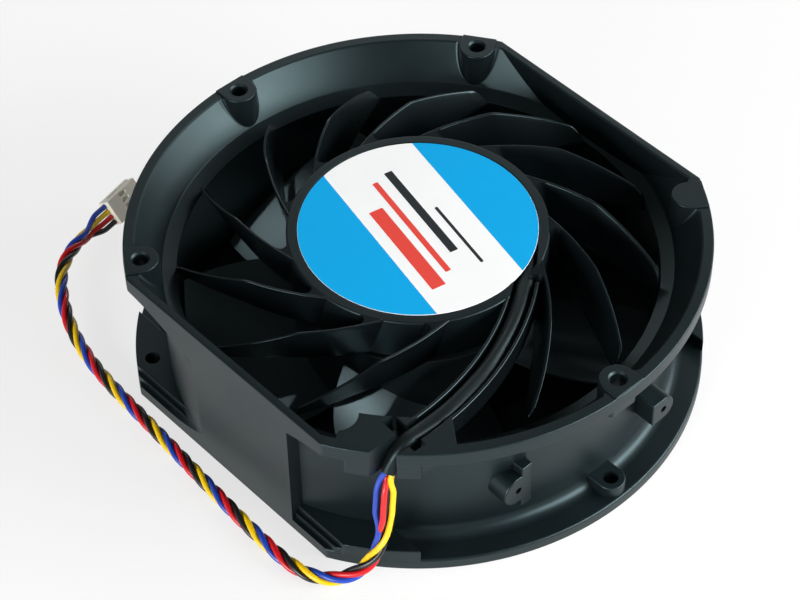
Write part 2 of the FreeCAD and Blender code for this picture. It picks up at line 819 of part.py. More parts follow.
# Bearing tube: a brass sleeve with a shoulder between the two bearing seats.
keep(
    turned(
        "bearing_tube_form",
        ("bearing_radius", lower_bearing),
        (tube_radius, lower_bearing),
        (tube_radius, plate_bottom),
        ("bearing_radius", plate_bottom),
        ("bearing_radius", upper_bearing),
        ("bearing_radius - tube_shoulder", upper_bearing),
        ("bearing_radius - tube_shoulder", f"{lower_bearing} + bearing_width"),
        ("bearing_radius", f"{lower_bearing} + bearing_width"),
    ),
    "bearing_tube",
)

# Ball bearings: outer ring, inner ring and a set of balls at each end of the shaft.
race = "(ball_radius + race_clearance)"
outer_reach = f"sqrt({race} ^ 2 - (outer_ring_bore - ball_circle) ^ 2)"
inner_reach = f"sqrt({race} ^ 2 - (ball_circle - inner_ring_radius) ^ 2)"
for name, floor in (("upper", upper_bearing), ("lower", lower_bearing)):
    roof = f"{floor} + bearing_width"
    centre = f"{floor} + bearing_width / 2"
    outer_ring = turned(
        f"{name}_outer_ring",
        ("outer_ring_bore", floor),
        ("bearing_radius", floor),
        ("bearing_radius", roof),
        ("outer_ring_bore", roof),
        ("outer_ring_bore", f"{centre} + {outer_reach}", race),
        ("outer_ring_bore", f"{centre} - {outer_reach}"),
    )
    keep(outer_ring, f"bearing_{name}_outer_ring")
    inner_ring = turned(
        f"{name}_inner_ring",
        ("shaft_radius", roof),
        ("shaft_radius", floor),
        ("inner_ring_radius", floor),
        ("inner_ring_radius", f"{centre} - {inner_reach}", race),
        ("inner_ring_radius", f"{centre} + {inner_reach}"),
        ("inner_ring_radius", roof),
    )
    keep(inner_ring, f"bearing_{name}_inner_ring")
    balls = []
    for index in range(int(value("ball_count"))):
        ball = doc.addObject("Part::Sphere", f"{name}_ball_{index + 1}")
        turn = index * 360 / value("ball_count")
        bind(ball, {"Radius": "ball_radius"})
        bind(ball, place_at(f"ball_circle * cos({turn})", f"ball_circle * sin({turn})", centre))
        balls.append(ball)
    keep(grouped(f"{name}_balls", balls), f"bearing_{name}_balls")

# Shaft with a groove for its clip, pressed into the rotor boss.
shaft_top = f"{clip_bottom} + clip_thickness + shaft_tip"
keep(
    turned(
        "shaft_form",
        ("0", boss_bottom),
        ("shaft_radius", boss_bottom),
        ("shaft_radius", clip_bottom),
        ("shaft_radius - clip_groove", clip_bottom),
        ("shaft_radius - clip_groove", f"{clip_bottom} + clip_thickness"),
        ("shaft_radius", f"{clip_bottom} + clip_thickness"),
        ("shaft_radius", shaft_top),
        ("0", shaft_top),
    ),
    "shaft",
)
clip_ring = turned(
    "clip_ring",
    ("shaft_radius - clip_groove", clip_bottom),
    ("clip_radius", clip_bottom),
    ("clip_radius", f"{clip_bottom} + clip_thickness"),
    ("shaft_radius - clip_groove", f"{clip_bottom} + clip_thickness"),
)
clip_mouth = box(
    "clip_mouth", "2 * clip_radius", "2 * (shaft_radius - clip_groove)", "clip_thickness",
    "0", "-(shaft_radius - clip_groove)", clip_bottom,
)
keep(cut("clip_cut", clip_ring, clip_mouth), "retaining_clip")
keep(
    turned(
        "washer_form",
        ("shaft_radius", washer_bottom),
        ("washer_radius", washer_bottom),
        ("washer_radius", lower_bearing),
        ("shaft_radius", lower_bearing),
    ),
    "wave_washer",
)
keep(
    turned(
        "boss_form",
        ("shaft_radius", boss_bottom),
        ("boss_radius", boss_bottom),
        ("boss_radius", washer_bottom),
        ("shaft_radius", washer_bottom),
    ),
    "rotor_boss",
)

# Rotor: a steel yoke pressed into the impeller hub, with the magnet ring inside it.
keep(
    turned(
        "yoke_form",
        ("boss_radius", boss_bottom),
        (yoke_radius, boss_bottom),
        (yoke_radius, yoke_top),
        (magnet_radius, yoke_top),
        (magnet_radius, yoke_inside),
        ("boss_radius", yoke_inside),
    ),
    "rotor_yoke",
)
keep(
    turned(
        "magnet_form",
        (magnet_bore, magnet_bottom),
        (magnet_radius, magnet_bottom),
        (magnet_radius, magnet_top),
        (magnet_bore, magnet_top),
    ),
    "magnet_ring",
)

# Impeller: the hub cup with its blades. A blade is lofted through flat cambered sections,
# each square to its radius, and trimmed to the tip circle and the hub.
hub_cup = turned(
    "hub_cup",
    ("0", boss_bottom),
    (yoke_radius, boss_bottom),
    (yoke_radius, hub_top),
    ("hub_radius", hub_top),
    ("hub_radius", "hub_bottom + hub_round", "hub_round"),
    ("hub_radius - hub_round", "hub_bottom"),
    ("0", "hub_bottom"),
)
blade_zone = turned(
    "blade_zone",
    (f"{yoke_radius} + hub_wall / 2", "blade_bottom - blade_edge"),
    (f"{duct_radius} - tip_clearance", "blade_bottom - blade_edge"),
    (f"{duct_radius} - tip_clearance", "blade_bottom + blade_height + blade_edge"),
    (f"{yoke_radius} + hub_wall / 2", "blade_bottom + blade_height + blade_edge"),
)
doc.recompute()


# One blade section at a share of the span, from leading edge to trailing edge.
def blade_section(share, turn):
    radius = value("hub_radius") + share * value(f"{duct_radius} - hub_radius")
    chord_angle = value("blade_root_chord") + share * value("blade_tip_chord - blade_root_chord")
    trailing = value("blade_root_angle") + share * value("blade_tip_angle - blade_root_angle") + turn
    thickness = value("blade_root_thickness") + share * value("blade_tip_thickness - blade_root_thickness")
    half_chord = radius * math.radians(chord_angle) / 2
    half_rise = value("blade_height") / 2
    middle = trailing + chord_angle / 2
    outward = polar(1.0, middle)
    along = polar(1.0, middle + 90)
    centre = outward * radius + Vector(0, 0, value("blade_bottom") + half_rise)
    chord = along * (-2 * half_chord) + Vector(0, 0, 2 * half_rise)
    under = Vector(outward).cross(chord).normalize() * -1.0
    if under.z > 0:
        under = under * -1.0
    sides = {1: [], -1: []}
    for part in (0.0, 0.25, 0.5, 0.75, 1.0):
        swell = 4 * part * (1 - part)
        camber = centre + chord * (part - 0.5) + under * (value("blade_camber") * chord.Length * swell)
        half = value("blade_edge") / 2 + (thickness - value("blade_edge")) / 2 * swell
        for side in sides:
            sides[side].append(camber + under * (half * side))
    lower = Part.BSplineCurve()
    lower.interpolate(sides[1])
    upper = Part.BSplineCurve()
    upper.interpolate(sides[-1][::-1])
    return Part.Wire([
        lower.toShape(),
        Part.LineSegment(sides[1][-1], sides[-1][-1]).toShape(),
        upper.toShape(),
        Part.LineSegment(sides[-1][0], sides[1][0]).toShape(),
    ])


blades = []
for index in range(int(value("blade_count"))):
    turn = index * 360 / value("blade_count")
    sections = [blade_section(share, turn) for share in (-0.22, 0.4, 1.05)]
    blades.append(Part.makeLoft(sections, True, False).common(blade_zone.Shape))
blade_row = shaped("blade_row", Part.makeCompound([solid for blade in blades for solid in blade.Solids]))
keep(fused("impeller_form", [hub_cup, blade_row]), "impeller")

# Stator core: laminated ring with T-shaped teeth, pressed on the bearing tube.
tooth_length = f"{core_radius} - tooth_tip / 2 - {tube_radius} - core_yoke / 2"


def toothed(label, bottom, height, yoke, width, reach):
    parts = [rod(label + "_hub", f"{tube_radius} + {yoke}", height, "0", "0", bottom)]
    for index in range(int(value("tooth_count"))):
        turn = index * 360 / value("tooth_count")
        start = f"{tube_radius} + {yoke} / 2"
        parts.append(spoke(f"{label}_tooth_{index + 1}", start, reach, width, bottom, height, turn))
    return parts


core_parts = toothed("core", core_bottom, core_height, "core_yoke", "tooth_width", tooth_length)
tip_ring = turned(
    "tip_ring",
    (f"{core_radius} - tooth_tip", core_bottom),
    (core_radius, core_bottom),
    (core_radius, core_top),
    (f"{core_radius} - tooth_tip", core_top),
)
tip_slots = []
for index in range(int(value("tooth_count"))):
    turn = (index + 0.5) * 360 / value("tooth_count")
    tip_slots.append(
        spoke(
            f"tip_slot_{index + 1}", f"{core_radius} - 2 * tooth_tip", "3 * tooth_tip", "tooth_slot",
            core_bottom, core_height, turn,
        )
    )
core_parts.append(cut("tip_row", tip_ring, fused("tip_slots", tip_slots)))
core_bore = rod("core_bore", tube_radius, core_height, "0", "0", core_bottom)
keep(cut("core_cut", fused("core_form", core_parts), core_bore), "stator_core")

# Insulators: moulded end caps on both faces of the core, with pins in the upper one.
insulator_reach = f"{core_radius} - tooth_tip - {tube_radius} - core_yoke / 2"
insulator_places = {"upper": core_top, "lower": f"({core_bottom} - insulator_thickness)"}
pin_turns = [60 * index + 30 for index in range(4)]
pins = []
for number, turn in enumerate(pin_turns, start=1):
    pins.append(
        rod(
            f"pin_{number}", "pin_radius", f"{board_top} + pin_stand - {core_top} - insulator_thickness",
            f"pin_circle * cos({turn})", f"pin_circle * sin({turn})", f"{core_top} + insulator_thickness",
        )
    )
keep(grouped("pin_row", pins), "terminal_pins")
for name, bottom in insulator_places.items():
    width = "tooth_width + 2 * insulator_margin"
    parts = toothed(f"{name}_cap", bottom, "insulator_thickness", "core_yoke", width, insulator_reach)
    bore = rod(f"{name}_cap_bore", tube_radius, "insulator_thickness", "0", "0", bottom)
    keep(cut(f"{name}_cap_cut", fused(f"{name}_cap_form", parts), bore), f"insulator_{name}")

# Windings: one coil round each tooth, over the insulators.
coil_start = f"{core_ring_radius} + winding_margin"
coil_length = f"{core_radius} - tooth_tip - {core_ring_radius} - 2 * winding_margin"
coil_inner_width = "(tooth_width + 2 * insulator_margin)"
coil_bottom = f"{core_bottom} - insulator_thickness"
coil_height = f"{core_height} + 2 * insulator_thickness"
coils = []
for index in range(int(value("tooth_count"))):
    turn = index * 360 / value("tooth_count")
    bar = spoke(
        f"coil_bar_{index + 1}", coil_start, coil_length, f"{coil_inner_width} + 2 * winding_build",
        f"{coil_bottom} - winding_build", f"{coil_height} + 2 * winding_build", turn,
    )
    core = spoke(
        f"coil_core_{index + 1}", coil_start, coil_length, coil_inner_width, coil_bottom, coil_height, turn,
    )
    coils.append(cut(f"coil_{index + 1}", bar, core))
keep(grouped("coil_row", coils), "windings")

# Control board with its parts, under the plate of the motor base.
board_disc = rod("board_disc", "board_radius", "board_thickness", "0", "0", board_bottom)
board_holes = [
    rod("board_bore", f"{tube_radius} + board_bore_gap", "board_thickness", "0", "0", board_bottom)
]
for number, turn in enumerate(pin_turns, start=1):
    board_holes.append(
        rod(
            f"pin_hole_{number}", "pin_radius", "board_thickness",
            f"pin_circle * cos({turn})", f"pin_circle * sin({turn})", board_bottom,
        )
    )
keep(cut("board_cut", board_disc, fused("board_holes", board_holes)), "circuit_board")
keep(
    spoke(
        "chip_body", "component_circle - chip_size / 2", "chip_size", "chip_size",
        board_top, "chip_height", 90,
    ),
    "driver_chip",
)
transistors = []
for number, turn in enumerate((350, 10, 30, 130, 150, 170), start=1):
    transistors.append(
        spoke(
            f"transistor_{number}", "component_circle - transistor_length / 2", "transistor_length",
            "transistor_width", board_top, "transistor_height", turn,
        )
    )
keep(grouped("transistor_row", transistors), "power_transistors")
capacitors = []
for number, turn in enumerate((205, 235), start=1):
    capacitors.append(
        rod(
            f"capacitor_{number}", "capacitor_radius", f"{plate_bottom} - {board_top} - capacitor_gap",
            f"component_circle * cos({turn})", f"component_circle * sin({turn})", board_top,
        )
    )
keep(grouped("capacitor_pair", capacitors), "capacitors")
sensors = []
sensor_start = f"({magnet_bore} + {magnet_radius} - sensor_depth) / 2"
for number, turn in enumerate((30, 90, 150), start=1):
    sensors.append(
        spoke(
            f"sensor_{number}", sensor_start, "sensor_depth", "sensor_width",
            f"{board_bottom} - sensor_height", "sensor_height", turn,
        )
    )
keep(grouped("sensor_row", sensors), "hall_sensors")

# Lead tails: the bare ends of the leads, from the sleeve down to the board.
tail_radius = value("wire_radius")
tail_across = Vector(-sleeve_tangent.y, sleeve_tangent.x, 0)
tails = []
for column in (-1, 1):
    for tier in (1, 2):
        height = sleeve_height - 2 * tail_radius * (tier - 1) * 1.05 - tail_radius / 3
        start = lifted([lead_start + tail_across * (column * tail_radius * 1.1)], height)[0]
        reach = tail_radius * (7.6 - 2.6 * tier)
        elbow = start - sleeve_tangent * reach
        run = Part.makeCylinder(tail_radius, reach, start, sleeve_tangent * -1)
        drop = Part.makeCylinder(tail_radius, height - value(board_top), elbow, Vector(0, 0, -1))
        tails.append(run.fuse(drop).fuse(Part.makeSphere(tail_radius, elbow)))
keep(shaped("tail_row", Part.makeCompound(tails)), "lead_tails")

doc.recompute()
for item in doc.Objects:
    if "Invalid" in item.State or "Error" in item.State:
        raise RuntimeError(f"{item.Name} failed: {item.State}")
os.makedirs("parts", exist_ok=True)
for piece in pieces:
    if piece.Shape.isNull() or not piece.Shape.isValid():
        raise RuntimeError(f"{piece.Label} has no valid shape")
    piece.Shape.exportStep(f"parts/{piece.Label}.step")
    print(piece.Label, len(piece.Shape.Solids), round(piece.Shape.Volume, 1))
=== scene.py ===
import math
import bmesh
import bpy
from mathutils import Matrix, Vector


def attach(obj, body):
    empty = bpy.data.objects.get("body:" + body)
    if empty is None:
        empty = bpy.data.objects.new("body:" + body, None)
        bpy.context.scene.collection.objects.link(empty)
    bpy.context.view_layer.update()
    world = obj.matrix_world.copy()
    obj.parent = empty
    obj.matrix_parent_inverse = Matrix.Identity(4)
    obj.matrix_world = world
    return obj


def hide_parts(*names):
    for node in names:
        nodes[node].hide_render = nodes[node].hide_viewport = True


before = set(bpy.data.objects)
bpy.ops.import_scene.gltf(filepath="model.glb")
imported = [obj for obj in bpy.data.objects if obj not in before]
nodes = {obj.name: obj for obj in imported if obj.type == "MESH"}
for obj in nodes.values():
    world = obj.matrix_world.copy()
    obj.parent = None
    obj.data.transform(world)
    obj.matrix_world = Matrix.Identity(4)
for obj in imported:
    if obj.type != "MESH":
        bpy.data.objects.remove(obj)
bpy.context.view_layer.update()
scene = bpy.context.scene
mm = 0.001  # pieces are drawn in millimetres and brought to metres at the end
# sizes that several pieces share
fan = {"top": 51.0, "lip": 50.5, "duct": 71.2, "base": 38.5, "recessFloor": 50.8, "vaneBottom": 36.5}
print("frame loaded:", len(nodes), "nodes")


# camera

photoView = {
    "azimuth": -41.708, "elevation": 46.968, "roll": -1.163, "distance": 757.07,
    "focalPixels": 2535.58, "imageWidth": 800, "sensor": 36.0,
    "slideRight": -5.534, "slideUp": -4.092, "target": (0, 0, 25.5),
}


def makeCamera(look):
    azimuth, elevation, roll = (math.radians(look[key]) for key in ("azimuth", "elevation", "roll"))
    flat = math.cos(elevation)
    back = Vector((math.sin(azimuth) * flat, -math.cos(azimuth) * flat, math.sin(elevation)))
    level = Vector((math.cos(azimuth), math.sin(azimuth), 0))
    rise = back.cross(level)
    right = level * math.cos(roll) + rise * math.sin(roll)
    up = rise * math.cos(roll) - level * math.sin(roll)
    place = Vector(look["target"]) + back * look["distance"]
    place += right * look["slideRight"] + up * look["slideUp"]
    data = bpy.data.cameras.new("photoCamera")
    data.sensor_fit = "HORIZONTAL"
    data.sensor_width = look["sensor"]
    data.lens = look["focalPixels"] * look["sensor"] / look["imageWidth"]
    camera = bpy.data.objects.new("photoCamera", data)
    camera.matrix_world = Matrix.Translation(place * mm) @ Matrix((right, up, back)).transposed().to_4x4()
    scene.collection.objects.link(camera)
    scene.camera = camera


makeCamera(photoView)


# materials

def linear(hexColour):
    shares = [int(hexColour[i:i + 2], 16) / 255 for i in (1, 3, 5)]
    return (*[c / 12.92 if c <= 0.04045 else ((c + 0.055) / 1.055) ** 2.4 for c in shares], 1.0)


def perMetre(sizeMm):
    return 1000.0 / sizeMm


def addNode(tree, kind, settings, inputs):
    node = tree.nodes.new(kind)
    for key, item in settings.items():
        setattr(node, key, item)
    for key, item in inputs.items():
        if isinstance(item, bpy.types.NodeSocket):
            tree.links.new(item, node.inputs[key])
        else:
            node.inputs[key].default_value = item
    return node


def mathNode(tree, operation, *values):
    return addNode(tree, "ShaderNodeMath", {"operation": operation}, dict(enumerate(values))).outputs[0]


def toneNode(tree, share, dark, light):
    tones = {0: share, 6: linear(dark), 7: linear(light)}
    return addNode(tree, "ShaderNodeMix", {"data_type": "RGBA"}, tones).outputs[2]


def newMaterial(name):
    material = bpy.data.materials.new(name)
    material.use_nodes = True
    tree = material.node_tree
    shader = tree.nodes["Principled BSDF"]
    where = addNode(tree, "ShaderNodeTexCoord", {}, {}).outputs["Object"]
    return material, tree, shader, where


# A finish with a broad cloudiness in tone and gloss and a fine grain that lifts the surface.
def grainedFinish(name, dark, light, look):
    material, tree, shader, where = newMaterial(name)
    cloud = addNode(tree, "ShaderNodeTexNoise", {}, {
        "Vector": where, "Scale": perMetre(look["cloudMm"]), "Detail": 3.0})
    grain = addNode(tree, "ShaderNodeTexNoise", {}, {
        "Vector": where, "Scale": perMetre(look["grainMm"]), "Detail": 2.0})
    tone = toneNode(tree, cloud.outputs["Fac"], dark, light)
    gloss = addNode(tree, "ShaderNodeMapRange", {}, {
        "Value": cloud.outputs["Fac"], "From Min": 0.3, "From Max": 0.7,
        "To Min": look["roughness"][0], "To Max": look["roughness"][1]})
    bump = addNode(tree, "ShaderNodeBump", {}, {
        "Height": grain.outputs["Fac"], "Strength": look.get("bump", 0.3), "Distance": look["depthMm"] * mm})
    tree.links.new(tone, shader.inputs["Base Color"])
    tree.links.new(gloss.outputs["Result"], shader.inputs["Roughness"])
    tree.links.new(bump.outputs["Normal"], shader.inputs["Normal"])
    shader.inputs["Metallic"].default_value = look.get("metallic", 0.0)
    if not look.get("metallic"):
        shader.inputs["IOR"].default_value = look.get("ior", 1.5)
    if look.get("sheenTint"):
        shader.inputs["Specular Tint"].default_value = linear(look["sheenTint"])
    if look.get("milky"):
        shader.inputs["Subsurface Weight"].default_value = look["milky"]
        shader.inputs["Subsurface Scale"].default_value = mm
    return material


# A finish made of even lines, such as stacked sheets or wound wire, along one axis.
# A wave texture of scale 1 has 20 radians to the unit.
def linedFinish(name, dark, light, look):
    material, tree, shader, where = newMaterial(name)
    lines = addNode(tree, "ShaderNodeTexWave", {"bands_direction": look["along"]}, {
        "Vector": where, "Scale": perMetre(look["pitchMm"]) * 2 * math.pi / 20, "Distortion": look["wander"]})
    tone = toneNode(tree, lines.outputs["Fac"], dark, light)
    bump = addNode(tree, "ShaderNodeBump", {}, {
        "Height": lines.outputs["Fac"], "Strength": 0.6, "Distance": look["depthMm"] * mm})
    tree.links.new(tone, shader.inputs["Base Color"])
    tree.links.new(bump.outputs["Normal"], shader.inputs["Normal"])
    shader.inputs["Metallic"].default_value = look.get("metallic", 0.0)
    shader.inputs["Roughness"].default_value = look["roughness"]
    return material


# Glass-filled polyester from a spark-textured tool: black with a cool sheen, half gloss, slightly cloudy.
framePlastic = grainedFinish("mouldedFramePolyester", "#0a1012", "#0f1618", {
    "cloudMm": 38, "grainMm": 0.55, "depthMm": 0.012, "bump": 0.25,
    "roughness": (0.34, 0.44), "ior": 1.47, "sheenTint": "#d2f8ff"})
# The same resin against polished cores, for crisp bright edges on the vanes; their darker faces come partly
# from that gloss and partly from a darker base tone than the frame's, which is painted shade.
vanePlastic = grainedFinish("polishedVanePolyester", "#080c0e", "#0d1315", {
    "cloudMm": 38, "grainMm": 0.7, "depthMm": 0.008, "bump": 0.2,
    "roughness": (0.2, 0.28), "ior": 1.47, "sheenTint": "#d2f8ff"})
# The same resin in the impeller, with a lighter base tone than the frame's that is painted light on the
# blades, and a coarser sparkle where light falls on them.
impellerPlastic = grainedFinish("mouldedImpellerPolyester", "#252c2f", "#343c3f", {
    "cloudMm": 30, "grainMm": 0.6, "depthMm": 0.05, "bump": 0.7,
    "roughness": (0.5, 0.62), "ior": 1.5, "sheenTint": "#d2f8ff"})
# Heat-shrunk polyolefin: duller than the frame, with soft ripples from the leads inside.
shrinkTube = grainedFinish("shrunkPolyolefin", "#090a0b", "#121415", {
    "cloudMm": 6, "grainMm": 0.8, "depthMm": 0.05, "bump": 0.4,
    "roughness": (0.4, 0.52), "ior": 1.42, "sheenTint": "#d2f8ff"})
# Printed polyester film: smooth, with a faint sheen.
filmLook = {
    "cloudMm": 20, "grainMm": 0.6, "depthMm": 0.003, "bump": 0.15, "roughness": (0.64, 0.72), "ior": 1.25}
filmWhite = grainedFinish("printedFilmWhite", "#f2f4f4", "#fbfcfc", filmLook)
filmBlue = grainedFinish("printedFilmBlue", "#02a3e2", "#02a8e8", filmLook)
filmRed = grainedFinish("printedFilmRed", "#e0463c", "#e84f44", filmLook)
filmInk = grainedFinish("printedFilmInk", "#23282b", "#2b3134", filmLook)
# Extruded vinyl insulation: even colour, soft gloss, very slight orange peel.
vinylLook = {
    "cloudMm": 9, "grainMm": 0.9, "depthMm": 0.012, "bump": 0.3, "roughness": (0.28, 0.36), "ior": 1.53}
vinylRed = grainedFinish("extrudedVinylRed", "#c40d16", "#d6161e", vinylLook)
vinylBlack = grainedFinish("extrudedVinylBlack", "#101112", "#1b1c1e", vinylLook)
vinylYellow = grainedFinish("extrudedVinylYellow", "#efc000", "#f7cf12", vinylLook)
vinylBlue = grainedFinish("extrudedVinylBlue", "#183ca4", "#2148b4", vinylLook)
# Natural nylon, moulded: warm white and a little milky.
nylon = grainedFinish("mouldedNaturalNylon", "#dcd9ca", "#e8e5d8", {
    "cloudMm": 7, "grainMm": 0.5, "depthMm": 0.008, "roughness": (0.36, 0.46), "ior": 1.53, "milky": 0.25})
metalLook = {"metallic": 1.0, "cloudMm": 8, "grainMm": 0.35, "depthMm": 0.004, "bump": 0.2}
# Turned brass, ground, drawn and spring steel, a zinc casting, drawn aluminium and tinned copper.
brass = grainedFinish("turnedBrass", "#b98f46", "#cda45a", {
    **metalLook, "roughness": (0.22, 0.34)})
bearingSteel = grainedFinish("groundBearingSteel", "#b5b7ba", "#c9cbcd", {
    **metalLook, "roughness": (0.1, 0.18)})
drawnSteel = grainedFinish("drawnPlatedSteel", "#94979a", "#a9acae", {
    **metalLook, "roughness": (0.28, 0.4)})
springSteel = grainedFinish("blueSpringSteel", "#56595f", "#6d7076", {
    **metalLook, "roughness": (0.25, 0.35)})
zincCasting = grainedFinish("dieCastZinc", "#8f9294", "#a3a6a7", {
    **metalLook, "roughness": (0.35, 0.5), "depthMm": 0.02})
canAluminium = grainedFinish("drawnCanAluminium", "#c3c5c8", "#d6d8da", {
    **metalLook, "roughness": (0.2, 0.3)})
tinned = grainedFinish("tinnedCopper", "#bfc1bd", "#d2d4d0", {
    **metalLook, "roughness": (0.2, 0.3)})
# Bonded ferrite: dark grey and matt.
ferrite = grainedFinish("bondedFerrite", "#26282a", "#35373a", {
    "cloudMm": 5, "grainMm": 0.4, "depthMm": 0.02, "roughness": (0.6, 0.75)})
# Glass-filled nylon for the end caps, glass epoxy with green resist, and moulded epoxy packages.
capNylon = grainedFinish("mouldedCapNylon", "#c9c4b2", "#d8d4c4", {
    "cloudMm": 6, "grainMm": 0.5, "depthMm": 0.01, "roughness": (0.45, 0.55)})
boardResist = grainedFinish("resistOnGlassEpoxy", "#0f4a2c", "#17603a", {
    "cloudMm": 4, "grainMm": 0.8, "depthMm": 0.01, "roughness": (0.3, 0.4)})
packageEpoxy = grainedFinish("mouldedPackageEpoxy", "#161718", "#202123", {
    "cloudMm": 3, "grainMm": 0.3, "depthMm": 0.01, "roughness": (0.5, 0.6)})
# Stacked silicon steel sheets, and enamelled wire in close turns, both drawn coarser than life.
laminations = linedFinish("stackedSiliconSteel", "#4c4f52", "#8a8d90", {
    "pitchMm": 3.1416, "along": "Z", "wander": 0.0, "depthMm": 0.05, "metallic": 1.0, "roughness": 0.4})
woundCopper = linedFinish("woundEnamelledCopper", "#6e3013", "#b5622c", {
    "pitchMm": 3.1416, "along": "Z", "wander": 0.6, "depthMm": 0.15, "metallic": 1.0, "roughness": 0.3})
print("materials made:", len(bpy.data.materials))


# shapes

def polar(radius, degrees, height=0.0):
    turn = math.radians(degrees)
    return Vector((radius * math.cos(turn), radius * math.sin(turn), height))


# A closed outline of (x, y) or (x, y, radius) corners, where a radius rounds the corner.
def rounded(corners, stepDegrees=15):
    line = []
    for index, corner in enumerate(corners):
        here = Vector(corner[:2])
        if len(corner) == 2:
            line.append(here)
            continue
        before = (Vector(corners[index - 1][:2]) - here).normalized()
        after = (Vector(corners[(index + 1) % len(corners)][:2]) - here).normalized()
        half = before.angle(after) / 2
        centre = here + (before + after).normalized() * (corner[2] / math.sin(half))
        start = here + before * (corner[2] / math.tan(half)) - centre
        sweep = math.pi - 2 * half
        if start.x * (here - centre).y - start.y * (here - centre).x < 0:
            sweep = -sweep
        steps = max(2, round(abs(math.degrees(sweep)) / stepDegrees))
        for step in range(steps + 1):
            line.append(centre + Matrix.Rotation(sweep * step / steps, 2) @ start)
    return line


def meshObject(name, points, faces):
    mesh = bpy.data.meshes.new(name)
    mesh.from_pydata([tuple(point) for point in points], [], faces)
    piece = bpy.data.objects.new(name, mesh)
    scene.collection.objects.link(piece)
    return piece


def editMesh(piece, work):
    edit = bmesh.new()
    edit.from_mesh(piece.data)
    work(edit)
    edit.to_mesh(piece.data)
    edit.free()
    piece.data.update()
    return piece


def facedOutwards(piece):
    def work(edit):
        bmesh.ops.remove_doubles(edit, verts=edit.verts, dist=1e-5)
        bmesh.ops.recalc_face_normals(edit, faces=edit.faces)
    return editMesh(piece, work)


# A closed profile of (radius, height) turned about the fan axis.
def turned(name, profile, steps=240):
    count = len(profile)
    points = [polar(p[0], 360 * step / steps, p[1]) for step in range(steps) for p in profile]
    faces = []
    for step in range(steps):
        here, there = step * count, (step + 1) % steps * count
        for i in range(count):
            j = (i + 1) % count
            ring = [here + i, there + i, there + j, here + j]
            if profile[i][0] < 1e-6:
                ring.remove(there + i)
            if profile[j][0] < 1e-6:
                ring.remove(there + j)
            if len(ring) > 2:
                faces.append(ring)
    return facedOutwards(meshObject(name, points, faces))


# An outline raised from low to high, then placed.
def prism(name, outline, low, high, place=Matrix.Identity(4), soft=0.0):
    count = len(outline)
    points = [Vector((p[0], p[1], z)) for z in (low, high) for p in outline]
    faces = [list(range(count)), list(range(count, 2 * count))]
    faces += [[i, (i + 1) % count, (i + 1) % count + count, i + count] for i in range(count)]
    piece = facedOutwards(meshObject(name, points, faces))
    if soft:
        softened(piece, soft)
    piece.data.transform(place)
    return piece


def softened(piece, width, segments=3, sharper=40):
    def work(edit):
        edges = [e for e in edit.edges if e.calc_face_angle(0) > math.radians(sharper)]
        bmesh.ops.bevel(edit, geom=edges, offset=width, segments=segments, profile=0.5, affect="EDGES")
    return editMesh(piece, work)


def ringOutline(radius, centre=(0, 0), steps=48):
    return [Vector(centre) + polar(radius, 360 * i / steps).xy for i in range(steps)]


def boxOutline(x0, x1, y0, y1):
    return [Vector(p) for p in ((x0, y0), (x1, y0), (x1, y1), (x0, y1))]


def arcPoints(radius, start, end, steps=12):
    return [polar(radius, start + (end - start) * i / steps).xy for i in range(steps + 1)]


def plainMesh(piece):
    bpy.context.view_layer.update()
    made = bpy.data.meshes.new_from_object(piece.evaluated_get(bpy.context.evaluated_depsgraph_get()))
    piece.modifiers.clear()
    piece.data = made
    return piece


def combined(piece, others, operation):
    for other in others:
        change = piece.modifiers.new("combine", "BOOLEAN")
        change.operation = operation
        change.solver = "MANIFOLD"
        change.object = other
        plainMesh(piece)
        bpy.data.objects.remove(other)
    return piece


# Brings a piece to metres, gives it its finish, and puts it on its body in place of its node.
def settled(piece, material, body, replaced=(), sharpDegrees=35, weighted=True):
    piece.data.transform(Matrix.Scale(mm, 4))
    mesh = piece.data
    if material:
        mesh.materials.clear()
        mesh.materials.append(material)
    mesh.shade_smooth()
    mesh.set_sharp_from_angle(angle=math.radians(sharpDegrees))
    if weighted:
        evenShade = piece.modifiers.new("evenShade", "WEIGHTED_NORMAL")
        evenShade.keep_sharp = True
        plainMesh(piece)
    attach(piece, body)
    if replaced:
        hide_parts(*replaced)
    return piece


# Instances of a shape set round the fan axis, as a tree that any part can use.
def polarTree():
    tree = bpy.data.node_groups.new("polarRow", "GeometryNodeTree")
    sockets = {}
    kinds = {"Geometry": "Geometry", "Count": "Int", "Pitch": "Float", "First": "Float", "Skip": "Int",
             "Material": "Material"}
    for name, kind in kinds.items():
        socket = tree.interface.new_socket(name, in_out="INPUT", socket_type="NodeSocket" + kind)
        sockets[name] = socket.identifier
    tree.interface.new_socket("Geometry", in_out="OUTPUT", socket_type="NodeSocketGeometry")
    given = addNode(tree, "NodeGroupInput", {}, {}).outputs
    places = addNode(tree, "GeometryNodeMeshLine", {"mode": "OFFSET"}, {
        "Count": given["Count"], "Offset": (0, 0, 0)})
    index = addNode(tree, "GeometryNodeInputIndex", {}, {}).outputs[0]
    angle = mathNode(tree, "MULTIPLY_ADD", index, given["Pitch"], given["First"])
    spin = addNode(tree, "ShaderNodeCombineXYZ", {}, {"Z": angle})
    turn = addNode(tree, "FunctionNodeEulerToRotation", {}, {0: spin.outputs[0]})
    kept = addNode(tree, "FunctionNodeCompare", {"data_type": "INT", "operation": "NOT_EQUAL"}, {
        2: index, 3: given["Skip"]})
    row = addNode(tree, "GeometryNodeInstanceOnPoints", {}, {
        "Points": places.outputs[0], "Selection": kept.outputs[0], "Instance": given["Geometry"],
        "Rotation": turn.outputs[0]})
    real = addNode(tree, "GeometryNodeRealizeInstances", {}, {0: row.outputs[0]})
    painted = addNode(tree, "GeometryNodeSetMaterial", {}, {
        "Geometry": real.outputs[0], "Material": given["Material"]})
    addNode(tree, "NodeGroupOutput", {}, {0: painted.outputs[0]})
    return tree, sockets


polarRow, polarSockets = polarTree()


